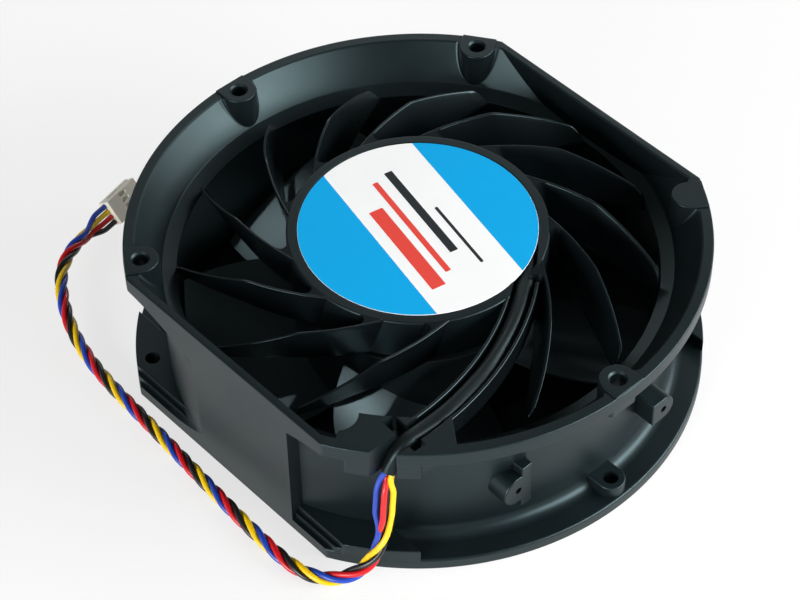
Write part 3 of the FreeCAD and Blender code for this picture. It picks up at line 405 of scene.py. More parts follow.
def setRound(piece, count, pitch, first, material, skip=-1):
    row = piece.modifiers.new("polarRow", "NODES")
    row.node_group = polarRow
    values = {"Count": count, "Pitch": math.radians(pitch), "First": math.radians(first),
              "Skip": skip, "Material": material}
    for name, item in values.items():
        row[polarSockets[name]] = item
    return plainMesh(piece)


# A closed skin over rings of points, all with the same count.
def skinned(name, rings):
    count = len(rings[0])
    faces = [list(range(count)), list(range((len(rings) - 1) * count, len(rings) * count))]
    for start in range(0, (len(rings) - 1) * count, count):
        for i in range(count):
            j = (i + 1) % count
            faces.append([start + i, start + j, start + count + j, start + count + i])
    return facedOutwards(meshObject(name, [p for ring in rings for p in ring], faces))


# A section of (across, height) points drawn along a level path of (point, across direction).
def swept(name, path, sectionAt):
    rings = []
    for step, (place, across) in enumerate(path):
        section = sectionAt(step / (len(path) - 1))
        rings.append([place + across * s[0] + Vector((0, 0, s[1])) for s in section])
    return skinned(name, rings)


def circleThrough(a, b, c):
    u, v = b - a, c - a
    cross = 2 * (u.x * v.y - u.y * v.x)
    centre = a + Vector((v.y * u.length_squared - u.y * v.length_squared,
                         u.x * v.length_squared - v.x * u.length_squared)) / cross
    return centre, (a - centre).length


# leads: four insulated wires twisted together, from the sleeve to the connector

leads = {
    "diameter": 4.2, "wireRadius": 0.86, "layRadius": 1.24, "pitch": 23.0, "phase": 35.0, "length": 0.2282,
    "sides": 14, "partStart": 2.5, "partRun": 8.0, "joinStart": 17.0, "joinEnd": 30.0,
    "rowStart": 17.0, "rowEnd": 4.0, "rowPitch": 2.0,
    "route": [
        (-60.63, -55.664, 43.7), (-63.127, -55.54, 39.37), (-65.2, -56.9, 31.5), (-66.4, -57.4, 22.5),
        (-68.4, -57.8, 13.8), (-73.4, -56.2, 6.4), (-80.4, -51.0, 2.9), (-84.8, -42.4, 2.5),
        (-85.4, -30.5, 2.4), (-84.3, -8.0, 2.3), (-81.5, 30.0, 2.3), (-80.3, 54.0, 2.5),
        (-77.4, 70.5, 3.6), (-72.6, 82.8, 5.6), (-65.6, 93.4, 7.2), (-56.8, 99.2, 7.3),
        (-47.125, 101.896, 6.6), (-37.6, 104.2, 6.0),
    ],
    # each wire: finish, turn in the lay, (right, near) at the slot, and order in the connector
    "wires": [
        (vinylBlack, 270, (0.4, -1.9), -1.5), (vinylRed, 180, (-0.4, 1.6), -0.5),
        (vinylBlue, 90, (-2.5, 0.2), 1.5), (vinylYellow, 0, (2.1, 0.6), 0.5),
    ],
}
plug = {
    "entry": leads["route"][-1], "heading": 13.6, "roll": 53.0, "length": 13.5, "width": 8.6,
    "thickness": 5.0, "edge": 0.35, "ways": 4, "pitch": leads["rowPitch"], "window": (5.2, 8.2),
    "windowHalf": 0.55, "windowDepth": 0.9, "mouthDepth": 2.4, "mouthHalf": 0.6, "entryRadius": 0.95,
    "entryDepth": 2.2, "keyStart": 3.0, "keyDepth": 0.45, "keyHalf": 0.8, "latchHalf": 1.6,
    "latch": ((8.8, 0), (12.6, 0), (12.6, 0.35), (11.2, 0.8), (9.0, 0.8)),
}
plugPlace = (Matrix.Translation(plug["entry"]) @ Matrix.Rotation(math.radians(plug["heading"]), 4, "Z")
             @ Matrix.Rotation(math.radians(plug["roll"]), 4, "X"))


def routeLine(name, route):
    data = bpy.data.curves.new(name, "CURVE")
    data.dimensions = "3D"
    data.resolution_u = 20
    spline = data.splines.new("NURBS")
    spline.points.add(len(route) - 1)
    for point, place in zip(spline.points, route):
        point.co = (*[x * mm for x in place], 1.0)
    spline.order_u = 3
    spline.use_endpoint_u = True
    guide = bpy.data.objects.new(name, data)
    scene.collection.objects.link(guide)
    line = bpy.data.meshes.new_from_object(guide)
    points = [v.co.copy() for v in line.vertices]
    bpy.data.objects.remove(guide)
    return points


def smoothStep(x):
    x = min(1.0, max(0.0, x))
    return x * x * (3 - 2 * x)


# Each point of a line with its direction and a side that is carried along without twist.
def carried(line, side=None):
    for i, here in enumerate(line):
        along = (line[min(i + 1, len(line) - 1)] - line[max(i - 1, 0)]).normalized()
        if side is None:
            side = along.orthogonal().normalized()
        side = (side - along * side.dot(along)).normalized()
        yield here, along, side


def tube(points, faces, line, radius, sides, stepMaterial, materials, radiusAt=None):
    first = len(points)
    for i, (here, along, side) in enumerate(carried(line)):
        other = along.cross(side)
        for k in range(sides):
            turn = 2 * math.pi * k / sides
            reach = radiusAt(i, turn) if radiusAt else radius
            points.append(here + (side * math.cos(turn) + other * math.sin(turn)) * reach)
    for i in range(len(line) - 1):
        for k in range(sides):
            a, b = first + i * sides + k, first + i * sides + (k + 1) % sides
            faces.append([a, b, b + sides, a + sides])
            materials.append(stepMaterial)
    for ring, order in ((0, -1), (len(line) - 1, 1)):
        faces.append([first + ring * sides + k for k in range(sides)][::order])
        materials.append(stepMaterial)


def twistedLeads():
    line = [p / mm for p in routeLine("leadRoute", leads["route"])]
    run = [0.0]
    for a, b in zip(line, line[1:]):
        run.append(run[-1] + (b - a).length)
    total = run[-1]
    level = polar(1, photoView["azimuth"])
    toward = Vector((level.y, -level.x, 0))
    rowAxis = (plugPlace.to_3x3() @ Vector((0, 1, 0))).normalized()
    points, faces, materials = [], [], []
    for number, (material, turn, (atRight, atNear), order) in enumerate(leads["wires"]):
        path = []
        for i, (here, along, side) in enumerate(carried(line, Vector((1, 0, 0)))):
            angle = math.radians(turn + leads["phase"]) + 2 * math.pi * run[i] / leads["pitch"]
            lay = (side * math.cos(angle) + along.cross(side) * math.sin(angle)) * leads["layRadius"]
            opened = smoothStep((run[i] - leads["partStart"]) / leads["partRun"])
            opened *= 1 - smoothStep((run[i] - leads["joinStart"]) / (leads["joinEnd"] - leads["joinStart"]))
            slotPlace = level * atRight + toward * atNear
            slotPlace = slotPlace - along * slotPlace.dot(along)
            inRow = smoothStep((run[i] - total + leads["rowStart"]) / (leads["rowStart"] - leads["rowEnd"]))
            rowPlace = rowAxis * (order * leads["rowPitch"])
            path.append(here + lay * (1 - opened) * (1 - inRow) + slotPlace * opened + rowPlace * inRow)
        tube(points, faces, path, leads["wireRadius"], leads["sides"], number, materials)
    piece = meshObject("twistedLeads", points, faces)
    for wire in leads["wires"]:
        piece.data.materials.append(wire[0])
    piece.data.polygons.foreach_set("material_index", materials)
    settled(piece, None, "frame", ["wire_bundle"], sharpDegrees=60, weighted=False)
    return piece, line, total


leadPiece, leadLine, leadTotal = twistedLeads()
print("leads twisted, mm:", round(leadTotal, 1))


# connector: a four-way crimp housing

def connectorShell():
    half, thick, length = plug["width"] / 2, plug["thickness"] / 2, plug["length"]
    shell = prism("connectorShell", boxOutline(0, length, -half, half), -thick, thick, soft=plug["edge"])
    quarter = math.radians(90)
    cuts = []
    for index in range(plug["ways"]):
        across = (index - (plug["ways"] - 1) / 2) * plug["pitch"]
        reach = plug["windowHalf"]
        window = boxOutline(*plug["window"], across - reach, across + reach)
        cuts.append(prism("window", window, thick - plug["windowDepth"], thick + 1))
        reach = plug["mouthHalf"]
        mouth = boxOutline(length - plug["mouthDepth"], length + 1, across - reach, across + reach)
        cuts.append(prism("mouth", mouth, -reach, reach))
        place = Matrix.Translation((0, across, 0)) @ Matrix.Rotation(quarter, 4, "Y")
        entry = ringOutline(plug["entryRadius"], steps=20)
        cuts.append(prism("wireEntry", entry, -1, plug["entryDepth"], place))
    for side in (-half, half):  # key slots along the two narrow sides
        key = boxOutline(plug["keyStart"], length + 1, side - plug["keyDepth"], side + plug["keyDepth"])
        cuts.append(prism("key", key, -plug["keyHalf"], plug["keyHalf"]))
    combined(shell, cuts, "DIFFERENCE")
    onEdge = Matrix.Translation((0, 0, -thick)) @ Matrix.Rotation(-quarter, 4, "X")
    latch = prism("latch", [Vector(p) for p in plug["latch"]], -plug["latchHalf"], plug["latchHalf"], onEdge)
    combined(shell, [latch], "UNION")
    shell.data.transform(plugPlace)
    return settled(shell, nylon, "frame", ["connector_housing"])


connectorPiece = connectorShell()
[tuple(p * mm) for p in leadLine]


# lead route across the vanes: an arc from the motor base to the exit block

crossing = {
    "start": polar(33.0, -58.9).xy, "middle": polar(55.45, -111.6).xy, "end": polar(77.6, -133.8).xy,
    "height": 47.7, "groove": 3.1, "grooveBottom": 44.6, "grooveTop": 60.0, "grooveSpan": (-0.02, 1.0),
    "steps": 48,
}
crossCentre, crossRadius = circleThrough(crossing["start"], crossing["middle"], crossing["end"])
crossStart = math.degrees(math.atan2(*(crossing["start"] - crossCentre).yx))
crossEnd = math.degrees(math.atan2(*(crossing["end"] - crossCentre).yx))
crossHeading = Vector((crossing["end"] - crossCentre).orthogonal()).normalized()
if crossHeading.dot(crossing["end"] - crossing["middle"]) < 0:
    crossHeading = -crossHeading


def crossPath(fromShare, toShare, steps):
    path = []
    for i in range(steps + 1):
        share = fromShare + (toShare - fromShare) * i / steps
        out = polar(1, crossStart + (crossEnd - crossStart) * share)
        path.append((crossCentre.to_3d() + out * crossRadius, out))
    return path


# The way that is cut free for the leads, in the motor base and in the exit block.
def leadGroove():
    path, reach = crossPath(*crossing["grooveSpan"], crossing["steps"]), crossing["groove"]
    outline = [(p + out * reach).xy for p, out in path]
    outline += [(p - out * reach).xy for p, out in reversed(path)]
    return prism("groove", outline, crossing["grooveBottom"], crossing["grooveTop"])


# frame barrel: outlet rim, bell, duct, inlet flange, ears, pads and lugs in one moulding

barrel = {
    "rim": 86.0, "flat": 75.0, "innerFlat": 72.4, "lipTop": fan["lip"], "edge": 0.5, "wall": 76.0,
    "flangeTop": 4.0, "flangeEdge": 0.8, "flangeRound": 4.0, "flareBottom": 33.7, "flareRadius": 12.2,
    "flareEdge": 0.4, "inlet": 82.0, "inletRound": 9.6, "duct": fan["duct"], "ductTop": 37.5, "ductEdge": 0.4,
    "ledge": 75.4, "ledgeTop": 39.5, "ledgeRound": 0.9, "mouth": 82.4, "mouthStep": 0.4, "lipInner": 83.2,
    "lipOver": 0.2, "flatStep": 0.35, "flatOver": 0.7,
}
pads = {
    "root": 20.0, "bottom": 1.0, "top": 8.0, "reach": 14.4, "edge": 0.4, "stepReach": 1.3, "stepDrop": 2.0,
    "stepEdge": 0.3, "inset": 0.05, "tongue": 4.3, "tongueRoot": 68.0, "tongueEdge": 0.45,
    "panel": (-78.0, -70.0, -27.6, 0), "panelTop": 46.0, "panelEdge": 0.3,
}
# each lug: boss (x, radius), depth from root to face, block (from x, to x, half height)
lugs = {
    "height": 21.5, "edge": 0.5, "blockEdge": 0.45, "proud": 0.02, "hole": 1.1, "holeDepth": 6.0,
    "tall": ((-30.5, 5.2), (-64, -74), (-29.2, -25.3, 8.2)),
    "short": ((20.8, 4.2), (-70, -81), (16.4, 20.8, 4.2)),
}
ears = {
    "angles": (34, 90, 146, -90, -34), "holed": (34, 90, 146, -90), "circle": 81.0, "radius": 5.4,
    "reach": 3.0, "top": fan["top"], "bottom": 40.3, "edge": 0.35, "pad": (0, 4.75, -5.39, 5.39),
    "padBottom": 47.1, "padInset": 0.01, "padEdge": 0.34, "column": 5.55, "blend": 1.2, "columnRoot": 1.5,
    "columnInset": 0.03, "columnSteps": 14, "blendSteps": 8, "hole": 2.3, "sinkDepth": 0.55,
    "sinkGrowth": 0.6, "sinkOver": 0.05,
}
exitBlock = {
    "inner": 72.4, "span": (-148.5, -125.5), "rootDepth": 1.2, "footDepth": 0.6, "edge": 0.25, "inset": 0.02,
    "scallop": 6.0, "scallopPlace": (74.5, -150.1), "face": (-146.4, -132.3), "faceInner": 78.0,
    "faceEdge": 0.3, "faceInset": 0.06, "faceTopInset": 0.04, "gussetSpan": (78.5, 85.2),
    "gusset": ((-0.6, 46.5), (5.0, 46.5), (5.0, 45.9), (-0.6, 40.7)),
    "slotRun": (-8.6, 17.0), "slotSides": (-2.1, 3.4), "notchRun": (0, 4.2), "notchReach": (5.7, 2.2),
    "notchBottom": 44.5,
}


def alongY(outline, name, low=-100, high=100, soft=0.0):  # an (x, z) outline drawn along Y
    return prism(name, outline, -high, -low, Matrix.Rotation(math.radians(90), 4, "X"), soft)


def outerBody():
    rim, lip, flange = barrel["rim"], barrel["lipTop"], barrel["flangeTop"]
    hollow = barrel["wall"] + barrel["flareRadius"]
    reach = math.degrees(math.acos((rim - hollow) / barrel["flareRadius"]))
    foot = Vector((hollow, barrel["flareBottom"]))
    flare = [foot + p for p in arcPoints(barrel["flareRadius"], 180, reach)]
    return turned("frameBarrel", rounded([
        (0, 0), (rim, 0, barrel["edge"]), (rim, flange, barrel["flangeEdge"]),
        (barrel["wall"], flange, barrel["flangeRound"]), *flare[:-1], (*flare[-1], barrel["flareEdge"]),
        (rim, lip, barrel["edge"]), (0, lip)]))


def cornerPad(side, end, reach, top, soft):
    rim, outer = barrel["rim"], barrel["innerFlat"] + reach
    inner = barrel["innerFlat"] - pads["reach"]
    first, last = (math.degrees(math.acos(x / rim)) for x in (outer, inner))
    outline = [Vector((x, pads["root"])) for x in (inner, outer)]
    outline += arcPoints(rim - pads["inset"], first, last)
    outline = [Vector((p.x * side, p.y * end)) for p in outline]
    return prism("cornerPad", outline, pads["bottom"], top, soft=soft)


def outerPads():
    added = []
    stepTop = pads["top"] - pads["stepDrop"]
    for side in (1, -1):
        for end in (1, -1):
            added.append(cornerPad(side, end, 0.0, pads["top"], pads["edge"]))
            added.append(cornerPad(side, end, pads["stepReach"], stepTop, pads["stepEdge"]))
    tongue = pads["tongue"]
    stadium = [Vector((x, pads["tongueRoot"])) for x in (-tongue, tongue)]
    stadium += [Vector((0, ears["circle"])) + p for p in arcPoints(tongue, 0, 180, 16)]
    for end in (1, -1):
        outline = [Vector((p.x, p.y * end)) for p in stadium]
        added.append(prism("tongue", outline, pads["bottom"], pads["top"], soft=pads["tongueEdge"]))
    panel = boxOutline(*pads["panel"])
    added.append(prism("sidePanel", panel, pads["bottom"], pads["panelTop"], soft=pads["panelEdge"]))
    height = lugs["height"]
    for (x, radius), (root, face), (start, end, half) in (lugs["tall"], lugs["short"]):
        added.append(alongY(ringOutline(radius, (x, height)), "lugBoss", face, root, lugs["edge"]))
        block = boxOutline(start, end, height - half, height + half)
        added.append(alongY(block, "lugBlock", face - lugs["proud"], root, lugs["blockEdge"]))
    return added


# The way of the air: inlet, duct, ledge and bell, cut straight by the two flats.
def airPassage():
    lip, duct, inner = barrel["lipTop"], barrel["duct"], barrel["innerFlat"]
    over, step, outer = lip + barrel["lipOver"], barrel["flatStep"], inner + barrel["flatOver"]
    passage = turned("passage", rounded([
        (0, -1), (barrel["inlet"], -1), (barrel["inlet"], -0.1), (duct, -0.1, barrel["inletRound"]),
        (duct, barrel["ductTop"], barrel["ductEdge"]),
        (barrel["ledge"], barrel["ledgeTop"], barrel["ledgeRound"]),
        (barrel["mouth"], lip - barrel["mouthStep"], barrel["mouthStep"]), (barrel["lipInner"], over),
        (barrel["lipInner"], lip + 2), (0, lip + 2)]))
    flatCore = alongY(rounded([
        (-inner, -3), (inner, -3), (inner, lip - step, step), (outer, over), (outer, lip + 3),
        (-outer, lip + 3), (-outer, over), (-inner, lip - step, step)]), "flatCore")
    return combined(passage, [flatCore], "INTERSECT")


def bellRadius(height):
    share = (height - barrel["ledgeTop"]) / (barrel["lipTop"] - barrel["ledgeTop"])
    return barrel["ledge"] + share * (barrel["mouth"] - barrel["ledge"])


# An ear's column, blended to the bell's sloping wall by a hollow fillet on each side.
def earColumn(turn):
    circle, radius, blend = (ears[key] for key in ("circle", "column", "blend"))
    steps, bends = ears["columnSteps"], ears["blendSteps"]
    top = barrel["lipTop"] - ears["columnInset"]
    low = barrel["ledgeTop"]
    while bellRadius(low) < circle - radius + 0.05:
        low += 0.05
    middle = Vector((circle, 0))
    rings = []
    for step in range(steps + 1):
        height = low + (top - low) * step / steps
        wall = bellRadius(height)
        far, near = wall - blend, radius + blend
        offset = math.acos((circle ** 2 + far ** 2 - near ** 2) / (2 * circle * far))
        centre = Vector((far * math.cos(offset), far * math.sin(offset)))
        toWall, toEar = centre.normalized(), (middle - centre).normalized()
        bend = toWall.angle_signed(toEar)
        half = [toWall * (wall + ears["columnRoot"])]
        half += [centre + Matrix.Rotation(-bend * i / bends, 2) @ toWall * blend for i in range(bends + 1)]
        side = centre + toEar * blend - middle
        reach = math.pi - math.atan2(side.y, side.x)
        half += [middle + Matrix.Rotation(reach * i / bends, 2) @ side for i in range(1, bends + 1)]
        ring = half + [Vector((p.x, -p.y)) for p in reversed(half[:-1])]
        rings.append([turn @ Vector((p.x, p.y, height)) for p in ring])
    return skinned("earColumn", rings)


def earPieces():
    added = []
    top = ears["top"]
    # the disc is cut off short of the rim
    disc = [Vector((min(p.x, ears["reach"]), p.y)) for p in ringOutline(ears["radius"])]
    for angle in ears["angles"]:
        turn = Matrix.Rotation(math.radians(angle), 4, "Z")
        place = turn @ Matrix.Translation((ears["circle"], 0, 0))
        added.append(prism("ear", disc, ears["bottom"], top, place, ears["edge"]))
        pad = boxOutline(*ears["pad"])
        added.append(prism("earPad", pad, ears["padBottom"], top - ears["padInset"], place, ears["padEdge"]))
        added.append(earColumn(turn))
    return added


def exitPieces():
    lip, bottom, inner = barrel["lipTop"], ears["bottom"], exitBlock["inner"]
    start, end = exitBlock["span"]
    near = arcPoints(inner, start, end)
    rings = []
    for height in (bottom, bottom + 5, lip - exitBlock["inset"]):
        outline = near + arcPoints(bellRadius(height) + exitBlock["rootDepth"], end, start)
        rings.append([Vector((*p, height)) for p in outline])
    block = softened(skinned("exitBlock", rings), exitBlock["edge"])
    outline = near + arcPoints(barrel["ledge"] + exitBlock["footDepth"], end, start)
    combined(block, [prism("blockFoot", outline, barrel["ductTop"] - 0.1, bottom + 1)], "UNION")
    outline = ringOutline(exitBlock["scallop"], polar(*exitBlock["scallopPlace"]).xy)
    combined(block, [prism("scallop", outline, barrel["ductTop"] - 1, lip + 1)], "DIFFERENCE")
    start, end = exitBlock["face"]
    outline = arcPoints(exitBlock["faceInner"], start, end)
    outline += arcPoints(barrel["rim"] - exitBlock["faceInset"], end, start)
    face = prism("exitFace", outline, bottom, lip - exitBlock["faceTopInset"], soft=exitBlock["faceEdge"])
    # stands an outline on the rim, facing out
    upright = Matrix(((0, 0, 1, 0), (1, 0, 0, 0), (0, 1, 0, 0), (0, 0, 0, 1)))
    gusset = prism("gusset", [Vector(p) for p in exitBlock["gusset"]], *exitBlock["gussetSpan"],
                   Matrix.Rotation(math.radians(end), 4, "Z") @ upright)
    return [block, face, gusset]


# The groove and slot that the leads lie in, with a notch on each side of the slot.
def leadCuts():
    above = crossing["grooveTop"]
    cuts = [leadGroove()]
    heading = Matrix.Rotation(math.atan2(crossHeading.y, crossHeading.x), 4, "Z")
    place = Matrix.Translation(crossing["end"].to_3d()) @ heading
    left, right = exitBlock["slotSides"]
    inward, outward = exitBlock["notchReach"]
    slot = boxOutline(*exitBlock["slotRun"], left, right)
    cuts.append(prism("slot", slot, ears["bottom"] - 0.5, above, place))
    for sides in ((left - inward, left + 1), (right - 1, right + outward)):
        notch = boxOutline(*exitBlock["notchRun"], *sides)
        cuts.append(prism("notch", notch, exitBlock["notchBottom"], above, place))
    return cuts


def screwCuts():
    cuts = []
    radius, top = ears["hole"], ears["top"]
    sinkFoot, sinkTop = top - ears["sinkDepth"], top + ears["sinkOver"]
    for angle in ears["holed"]:
        place = Matrix.Translation(polar(ears["circle"], angle))
        cuts.append(prism("hole", ringOutline(radius), -1, top + 1, place))
        sink = turned("holeEdge", rounded([
            (0, sinkFoot), (radius, sinkFoot), (radius + ears["sinkGrowth"], sinkTop), (0, sinkTop)]), 48)
        sink.data.transform(place)
        cuts.append(sink)
    for (x, _), (_, face), _ in (lugs["tall"], lugs["short"]):
        bore = ringOutline(lugs["hole"], (x, lugs["height"]), 24)
        cuts.append(alongY(bore, "lugHole", face - 1, face + lugs["holeDepth"]))
    return cuts


def frameBarrel():
    body = combined(outerBody(), outerPads(), "UNION")
    flat, lip, edge = barrel["flat"], barrel["lipTop"], barrel["edge"]
    trim = [(-flat, 0, edge), (flat, 0, edge), (flat, lip, edge), (-flat, lip, edge)]
    combined(body, [alongY(rounded(trim), "flatTrim")], "INTERSECT")
    combined(body, [airPassage()], "DIFFERENCE")
    combined(body, earPieces() + exitPieces(), "UNION")
    combined(body, leadCuts() + screwCuts(), "DIFFERENCE")
    return settled(body, framePlastic, "frame", ["frame_barrel"])


frameBarrel()
print("frame barrel moulded")


# guide vanes: swept, leaning blades with webs at their roots, level and then falling to the bell's ledge

vane = {
    "count": 13, "skip": 6, "first": 73.1, "inner": fan["base"], "outer": fan["duct"], "kink": 53.5,
    "sweepKink": -23.3, "sweepOuter": -41.2, "lean": -7.0, "top": fan["top"], "bottom": fan["vaneBottom"],
    "drop": 9.0, "half": 0.45, "draft": 0.3, "edge": 0.3, "shoulder": 69.8, "toe": 71.5, "toeTop": 37.8,
    "web": 1.9, "webSteps": 12, "webLevels": 6, "webInset": (0.1, 0.05), "rows": 8, "edgeSteps": 6,
}


def leaned(point, top):
    share = (top - point.z) / (vane["top"] - vane["bottom"])
    return Matrix.Rotation(math.radians(vane["lean"]) * share, 3, "Z") @ point


# The web that fills the narrow corner between a vane and the motor base.
def vaneWeb(centre, radius):
    hub, web = vane["inner"], vane["web"]
    far, near = radius - vane["half"] - web, hub + web
    offset = math.acos((centre.length_squared + near ** 2 - far ** 2) / (2 * centre.length * near))
    places = [Matrix.Rotation(turn, 2) @ centre.normalized() * near for turn in (offset, -offset)]
    place = max(places, key=lambda p: p.x)
    toHub, toVane = -place.normalized(), (place - centre).normalized()
    bend = toVane.angle_signed(toHub)
    steps, levels = vane["webSteps"], vane["webLevels"]
    outline = [place + Matrix.Rotation(-bend * i / steps, 2) @ toVane * web for i in range(steps + 1)]
    outline += [place.normalized() * (hub - 1), polar(hub - 1, 1).xy, centre + toVane * radius]
    low, high = vane["bottom"] + vane["webInset"][0], vane["top"] - vane["webInset"][1]
    heights = [low + (high - low) * i / levels for i in range(levels + 1)]
    return skinned("vaneWeb", [[leaned(Vector((*p, z)), vane["top"]) for p in outline] for z in heights])


def vaneBlade():
    a, b, c = (polar(r, s).xy for r, s in (
        (vane["inner"], 0), (vane["kink"], vane["sweepKink"]), (vane["outer"], vane["sweepOuter"])))
    centre, radius = circleThrough(a, b, c)
    first = math.atan2(*(a - centre).yx)
    last = math.atan2(*(c - centre).yx)
    shares = [-0.02 + 0.03 * i for i in range(31)] + [0.92 + 0.01 * i for i in range(14)]  # finer at the tip
    edge, bottom, rowCount, steps = (vane[key] for key in ("edge", "bottom", "rows", "edgeSteps"))
    deep = vane["top"] - bottom
    rings = []
    for share in shares:
        turn = first + (last - first) * share
        out = Vector((math.cos(turn), math.sin(turn)))
        place = centre + out * radius
        reach = place.length
        if reach > vane["toe"]:
            break
        fall = max(0.0, (reach - vane["kink"]) / (vane["outer"] - vane["kink"]))
        edgeTop = vane["top"] - fall * vane["drop"]
        past = max(0.0, (reach - vane["shoulder"]) / (vane["toe"] - vane["shoulder"]))
        top = vane["toeTop"] + (edgeTop - vane["toeTop"]) * math.sqrt(1 - past ** 2)
        section = []
        for side in (1, -1):
            rows = range(rowCount + 1)
            for row in rows if side > 0 else reversed(rows):
                z = bottom + edge + (top - bottom - 2 * edge) * row / rowCount
                half = vane["half"] + vane["draft"] * (top - z) / deep
                section.append((side * half, z))
            for step in range(1, steps):  # rounds the top edge, then the bottom edge
                angle = math.pi * step / steps
                z = top - edge if side > 0 else bottom + edge
                flat = half - edge
                section.append((side * (flat * (1 - 2 * step / steps) + edge * math.cos(angle)),
                                z + side * edge * math.sin(angle)))
        rings.append([leaned(Vector((*(place + out * across), z)), edgeTop) for across, z in section])
    return combined(skinned("guideVanes", rings), [vaneWeb(centre, radius)], "UNION")


vanePitch = -360 / vane["count"]
vaneRow = setRound(vaneBlade(), vane["count"], vanePitch, vane["first"], vanePlastic, vane["skip"])
settled(vaneRow, vanePlastic, "frame", ["guide_vanes"], sharpDegrees=50)
print("guide vanes set round the hub")


# motor base: the cup under the label

base = {
    "recess": 35.6, "recessEdge": 0.1, "topEdge": 0.6, "bottomEdge": 0.5, "skirt": 36.3, "skirtEdge": 0.4,
    "skirtRound": 0.8, "plateBottom": 48.5, "bore": 8.5, "collar": (12.0, 14.6), "collarBottom": 42.5,
}


def motorBase():
    top, bottom, floor, radius = (fan[key] for key in ("top", "vaneBottom", "recessFloor", "base"))
    plate, (inner, outer) = base["plateBottom"], base["collar"]
    cup = turned("motorBase", rounded([
        (base["bore"], plate), (base["bore"], floor), (base["recess"], floor),
        (base["recess"], top, base["recessEdge"]), (radius, top, base["topEdge"]),
        (radius, bottom, base["bottomEdge"]), (base["skirt"], bottom, base["skirtEdge"]),
        (base["skirt"], plate, base["skirtRound"]), (outer, plate), (outer, base["collarBottom"]),
        (inner, base["collarBottom"]), (inner, plate)]), 180)
    combined(cup, [leadGroove()], "DIFFERENCE")
    return settled(cup, framePlastic, "frame", ["motor_base"])


motorBase()


# lead channel: an open trough in place of one vane, its inner wall reaching down like a vane

trough = {
    "outer": 4.2, "fall": 0.6, "floorBottom": 43.2, "span": (0.165, 0.955), "rimEdge": 0.45, "wallEdge": 0.4,
    "underRound": 1.0, "cornerEdge": 0.6, "insideRound": 0.8,
}


def channelSection(share):
    inner, outer, floor = crossing["groove"], trough["outer"], crossing["grooveBottom"]
    top, low, under = fan["top"] - trough["fall"] * share, fan["vaneBottom"], trough["floorBottom"]
    edge, rim, inside = trough["wallEdge"], trough["rimEdge"], trough["insideRound"]
    return rounded([
        (-outer, low, edge), (-inner, low, edge), (-inner, under, trough["underRound"]),
        (outer, under, trough["cornerEdge"]), (outer, top, rim), (inner, top, rim), (inner, floor, inside),
        (-inner, floor, inside), (-inner, top, rim), (-outer, top, rim)])


channel = swept("leadChannel", crossPath(*trough["span"], crossing["steps"]), channelSection)
settled(channel, vanePlastic, "frame", ["lead_channel"])


# wire sleeve: shrink tubing that shows the leads inside as soft ridges

sleeve = {
    "radius": 2.68, "endRadius": 2.3, "ridge": 0.1, "turns": 1.6, "bend": 8.0, "bendDegrees": 60.0,
    "wall": 0.15, "end": 40.3, "ripple": 0.05, "rippleTurns": 31, "steps": 70, "bendSteps": 12, "sides": 40,
    "mouthSides": 32,
}


def wireSleeve():
    line = [p + Vector((0, 0, crossing["height"])) for p, out in crossPath(0.0, 1.0, sleeve["steps"])]
    last, bends = line[-1], sleeve["bendSteps"]
    for step in range(1, bends + 1):
        turn = math.radians(sleeve["bendDegrees"] * step / bends)
        line.append(last + crossHeading.to_3d() * (sleeve["bend"] * math.sin(turn))
                    - Vector((0, 0, sleeve["bend"] * (1 - math.cos(turn)))))
    tight = len(line)
    line += [p for p in leadLine[1:] if p.z > sleeve["end"]]
    total = len(line)

    def ridged(i, turn):
        share = i / total
        wave = math.cos(4 * turn - 2 * math.pi * sleeve["turns"] * share)
        shrunk = smoothStep((i - tight + bends) / bends)
        radius = sleeve["radius"] + (sleeve["endRadius"] - sleeve["radius"]) * shrunk
        ripple = sleeve["ripple"] * math.sin(sleeve["rippleTurns"] * share + 2 * turn)
        return radius + sleeve["ridge"] * wave + ripple

    points, faces, materials = [], [], []
    tube(points, faces, line, sleeve["radius"], sleeve["sides"], 0, materials, ridged)
    piece = facedOutwards(meshObject("wireSleeve", points, faces))
    mouth, mouthFaces = [], []
    end, ahead = line[-1], line[-1] - line[-2]
    bore = sleeve["endRadius"] - sleeve["wall"]
    tube(mouth, mouthFaces, [end - ahead * 3, end, end + ahead], bore, sleeve["mouthSides"], 0, [])
    combined(piece, [facedOutwards(meshObject("sleeveMouth", mouth, mouthFaces))], "DIFFERENCE")
    return settled(piece, shrinkTube, "frame", ["wire_sleeve"], sharpDegrees=50)


wireSleeve()
print("motor base, channel and sleeve made")


# label: a printed film with a generic design

label = {
    "radius": 35.2, "low": fan["recessFloor"], "high": fan["top"], "edge": 0.08, "print": 0.02,
    "printRoot": 0.05, "turn": -12.0, "blueRadius": 35.15, "blueLeft": (112, 248), "blueRight": (-62, 62),
    "barRound": 0.3,
}
bars = {
    "labelBarRed": ((-9.5, -5.0, -24, 12), filmRed), "labelBarRedThin": ((-2.6, -0.8, -20, 22), filmRed),
    "labelBarInk": ((2.6, 5.2, -14, 24), filmInk), "labelBarInkThin": ((8.0, 9.0, -22, 4), filmInk),
}


def printed(name, outline, material):
    turn = Matrix.Rotation(math.radians(label["turn"]), 4, "Z")
    piece = prism(name, outline, label["high"] - label["printRoot"], label["high"] + label["print"], turn)
    return settled(piece, material, "frame", (), weighted=False)


film = turned("labelFilm", rounded([
    (0, label["low"]), (label["radius"], label["low"]), (label["radius"], label["high"], label["edge"]),
    (0, label["high"])]), 120)
settled(film, filmWhite, "frame", ["label"])
for name, span in (("labelBlueLeft", label["blueLeft"]), ("labelBlueRight", label["blueRight"])):
    printed(name, arcPoints(label["blueRadius"], *span, 40), filmBlue)
for name, (extent, material) in bars.items():
    printed(name, rounded([(*p, label["barRound"]) for p in boxOutline(*extent)]), material)
print("label printed")


# impeller: hub cup and five twisted, cambered blades

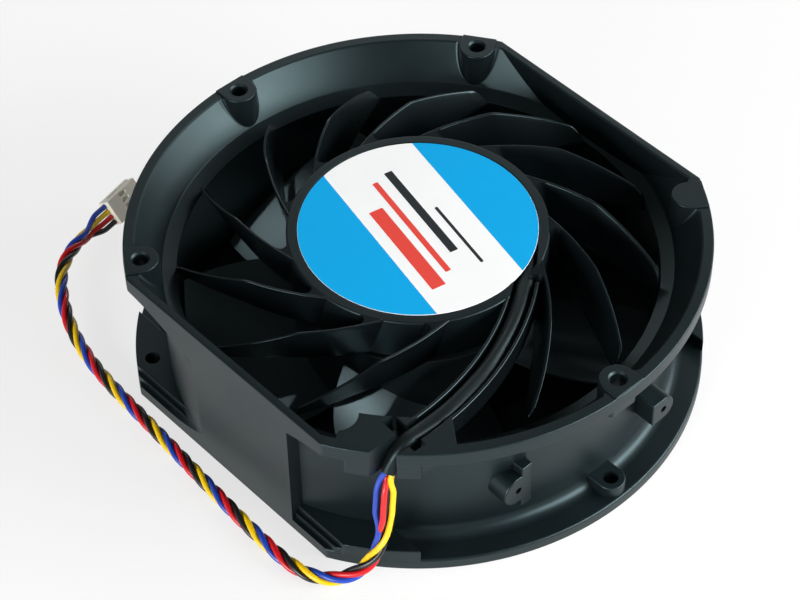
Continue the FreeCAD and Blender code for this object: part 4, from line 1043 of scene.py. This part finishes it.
impeller = {
    "hub": 37.5, "hubBottom": 4.0, "hubTop": 33.5, "hubFloor": 6.5, "hubBore": 35.0, "hubEdge": 0.4,
    "hubRound": 3.0, "root": 36.6, "tip": 69.8, "count": 5, "bottom": 7.5, "height": 20.5, "camber": 0.07,
    "edge": 0.6, "spanSteps": 16, "chordSteps": 20, "spanRange": (-0.4, 1.3), "halvings": 30,
    "chord": (70.0, 37.0), "trailing": (-167.5, -149.0), "thick": (2.6, 1.6),  # at the hub and at the duct
}


def between(ends, share):
    return ends[0] + share * (ends[1] - ends[0])


# A point of the blade at a share of the span and of the chord, on one side of the camber line or the other.
def bladePoint(span, chordShare, side):
    radius = between((impeller["hub"], fan["duct"]), span)
    chordAngle, trailing, thick = (between(impeller[key], span) for key in ("chord", "trailing", "thick"))
    middle = trailing + chordAngle / 2
    out, along = polar(1, middle), polar(1, middle + 90)
    rise = impeller["height"]
    chord = along * (-radius * math.radians(chordAngle)) + Vector((0, 0, rise))
    under = out.cross(chord).normalized()
    if under.z > 0:
        under = -under
    swell = 4 * chordShare * (1 - chordShare)
    half = impeller["edge"] / 2 + (thick - impeller["edge"]) / 2 * swell
    place = out * radius + Vector((0, 0, impeller["bottom"] + rise / 2)) + chord * (chordShare - 0.5)
    return place + under * (impeller["camber"] * chord.length * swell + half * side)


# The same at a radius, found by halving the span.
def bladePointAt(radius, chordShare, side):
    low, high = impeller["spanRange"]
    for step in range(impeller["halvings"]):
        middle = (low + high) / 2
        if bladePoint(middle, chordShare, side).xy.length < radius:
            low = middle
        else:
            high = middle
    return bladePoint(low, chordShare, side)


def bladeShape():
    chords, spans, root = impeller["chordSteps"], impeller["spanSteps"], impeller["root"]
    # closer together at the edges
    shares = [0, 0.03] + [0.08 + 0.84 * i / chords for i in range(chords + 1)] + [0.97, 1]
    radii = [root + (impeller["tip"] - root) * i / spans for i in range(spans + 1)]
    ring = [(s, 1) for s in shares] + [(s, -1) for s in reversed(shares)]
    return skinned("impellerBlades", [[bladePointAt(r, share, side) for share, side in ring] for r in radii])


blades = setRound(bladeShape(), impeller["count"], 360 / impeller["count"], 0, impellerPlastic)
hub = turned("impellerWheel", rounded([
    (0, impeller["hubFloor"]), (impeller["hubBore"], impeller["hubFloor"]),
    (impeller["hubBore"], impeller["hubTop"]), (impeller["hub"], impeller["hubTop"], impeller["hubEdge"]),
    (impeller["hub"], impeller["hubBottom"], impeller["hubRound"]), (0, impeller["hubBottom"])]), 180)
combined(hub, [blades], "UNION")
settled(hub, impellerPlastic, "rotor", ["impeller"], sharpDegrees=40)
print("impeller built")


# finishes of the inner pieces, which keep their shapes

innerFinishes = {
    brass: ["bearing_tube"],
    bearingSteel: ["bearing_upper_outer_ring", "bearing_upper_inner_ring", "bearing_upper_balls",
                   "bearing_lower_outer_ring", "bearing_lower_inner_ring", "bearing_lower_balls", "shaft"],
    springSteel: ["retaining_clip", "wave_washer"], zincCasting: ["rotor_boss"], drawnSteel: ["rotor_yoke"],
    ferrite: ["magnet_ring"], laminations: ["stator_core"], tinned: ["terminal_pins", "connector_terminals"],
    capNylon: ["insulator_upper", "insulator_lower"], woundCopper: ["windings"],
    boardResist: ["circuit_board"], packageEpoxy: ["driver_chip", "power_transistors", "hall_sensors"],
    canAluminium: ["capacitors"], vinylBlack: ["lead_tails"],
}
for finish, names in innerFinishes.items():
    for name in names:
        nodes[name].data.materials.clear()
        nodes[name].data.materials.append(finish)


# floor, backdrop and soft studio light

# the colour for under the fan is painted shade on the floor
stage = {
    "floorColour": "#f4f6f4", "floorRoughness": 0.7, "floorSize": 6.0, "floorDepth": 2.0, "floorGap": 0.01,
    "lift": 0.72, "underFan": 83.0, "underFlat": 72.0, "underFanPaintedShade": "#1c2022",
    "worldStrength": 0.06, "skyShare": 0.06,
}


# Shows a surface as white to the camera, by one share, and in gloss and glass, by another.
def pureWhite(tree, output, shader, seen, mirrored):
    path = addNode(tree, "ShaderNodeLightPath", {}, {}).outputs
    bounced = mathNode(tree, "MAXIMUM", path["Is Glossy Ray"], path["Is Transmission Ray"])
    faint = mathNode(tree, "MULTIPLY", bounced, mirrored)
    amount = mathNode(tree, "MULTIPLY_ADD", path["Is Camera Ray"], seen, faint)
    white = addNode(tree, "ShaderNodeEmission", {}, {"Strength": 1.0})
    mixed = addNode(tree, "ShaderNodeMixShader", {}, {0: amount, 1: shader, 2: white.outputs[0]})
    tree.links.new(mixed.outputs[0], output.inputs["Surface"])


# Under the fan the floor is given a dark tone, painted shade, so that the gaps between the blades show dark.
floorMaterial, floorTree, floorShader, floorWhere = newMaterial("paleFloor")
floorReach = addNode(floorTree, "ShaderNodeVectorMath", {"operation": "LENGTH"}, {0: floorWhere})
floorAxes = addNode(floorTree, "ShaderNodeSeparateXYZ", {}, {0: floorWhere})
floorAcross = mathNode(floorTree, "ABSOLUTE", floorAxes.outputs["X"])
pastRound = mathNode(floorTree, "GREATER_THAN", floorReach.outputs["Value"], stage["underFan"] * mm)
pastFlat = mathNode(floorTree, "GREATER_THAN", floorAcross, stage["underFlat"] * mm)
floorOpen = mathNode(floorTree, "MAXIMUM", pastRound, pastFlat)
# the dark tone inside the fan's outline is painted shade
floorToneWithPaintedShade = toneNode(floorTree, floorOpen, stage["underFanPaintedShade"], stage["floorColour"])
floorLift = mathNode(floorTree, "MULTIPLY", floorOpen, stage["lift"])
floorTree.links.new(floorToneWithPaintedShade, floorShader.inputs["Base Color"])
floorShader.inputs["Roughness"].default_value = stage["floorRoughness"]
pureWhite(floorTree, floorTree.nodes["Material Output"], floorShader.outputs[0], floorLift, floorLift)
size = stage["floorSize"] / mm
floor = prism("floor", boxOutline(-size, size, -size, size), -stage["floorDepth"], -stage["floorGap"])
floor.data.transform(Matrix.Scale(mm, 4))
floor.data.materials.append(floorMaterial)

world = bpy.data.worlds.new("studio")
scene.world = world
world.use_nodes = True
worldTree = world.node_tree
surround = worldTree.nodes["Background"]
surround.inputs["Color"].default_value = (1, 1, 1, 1)
surround.inputs["Strength"].default_value = stage["worldStrength"]
pureWhite(worldTree, worldTree.nodes["World Output"], surround.outputs[0], 1.0, stage["skyShare"])

# softboxes: (direction, elevation, distance, width, height, power)
softboxes = {
    "leftLow": (-172, 15, 1.0, 0.5, 0.35, 9.0), "keyFrontLeft": (-165, 55, 1.1, 0.6, 0.5, 0.5),
    "right": (-22, 26, 1.0, 0.45, 0.4, 0.9), "rightMid": (-44, 24, 1.0, 0.9, 0.4, 8.6),
    "frontRight": (-68, 24, 1.0, 0.8, 0.4, 9.6), "lampRight": (2, 42, 1.0, 0.3, 0.3, 0.3),
    "backStrip": (48, 28, 1.2, 0.9, 0.16, 2.2),
}
# spots that reach the blades between the vanes: (direction, elevation, distance, aim in mm, cone, power)
spots = {
    "spotFront": (-60, 50, 0.5, (-43, -23, 25), 2.5, 52.0),
    "spotBack": (125, 80, 0.5, (-6, 60, 12), 4.0, 14.0),
}
spotBlend, spotRadius = 0.7, 0.01


def hung(lamp, direction, elevation, distance, aim=(0, 0, 0)):
    rise = math.radians(elevation)
    away = polar(distance * math.cos(rise), direction, distance * math.sin(rise))
    turn = away.to_track_quat("Z", "Y").to_matrix().to_4x4()
    box = bpy.data.objects.new(lamp.name, lamp)
    box.matrix_world = Matrix.Translation(Vector(aim) * mm + away) @ turn
    scene.collection.objects.link(box)
    return box


for name, (direction, elevation, distance, width, height, power) in softboxes.items():
    lamp = bpy.data.lights.new(name, "AREA")
    lamp.shape = "RECTANGLE"
    lamp.size, lamp.size_y, lamp.energy = width, height, power
    hung(lamp, direction, elevation, distance).visible_camera = False
litBlades = bpy.data.collections.new("litBlades")  # the spots light the impeller alone
litBlades.objects.link(scene.objects["impellerWheel"])
for name, (direction, elevation, distance, aim, cone, power) in spots.items():
    lamp = bpy.data.lights.new(name, "SPOT")
    lamp.energy, lamp.spot_size = power, math.radians(cone)
    lamp.spot_blend, lamp.shadow_soft_size = spotBlend, spotRadius
    hung(lamp, direction, elevation, distance, aim).light_linking.receiver_collection = litBlades
scene.view_settings.view_transform = "Standard"
print("studio lit")
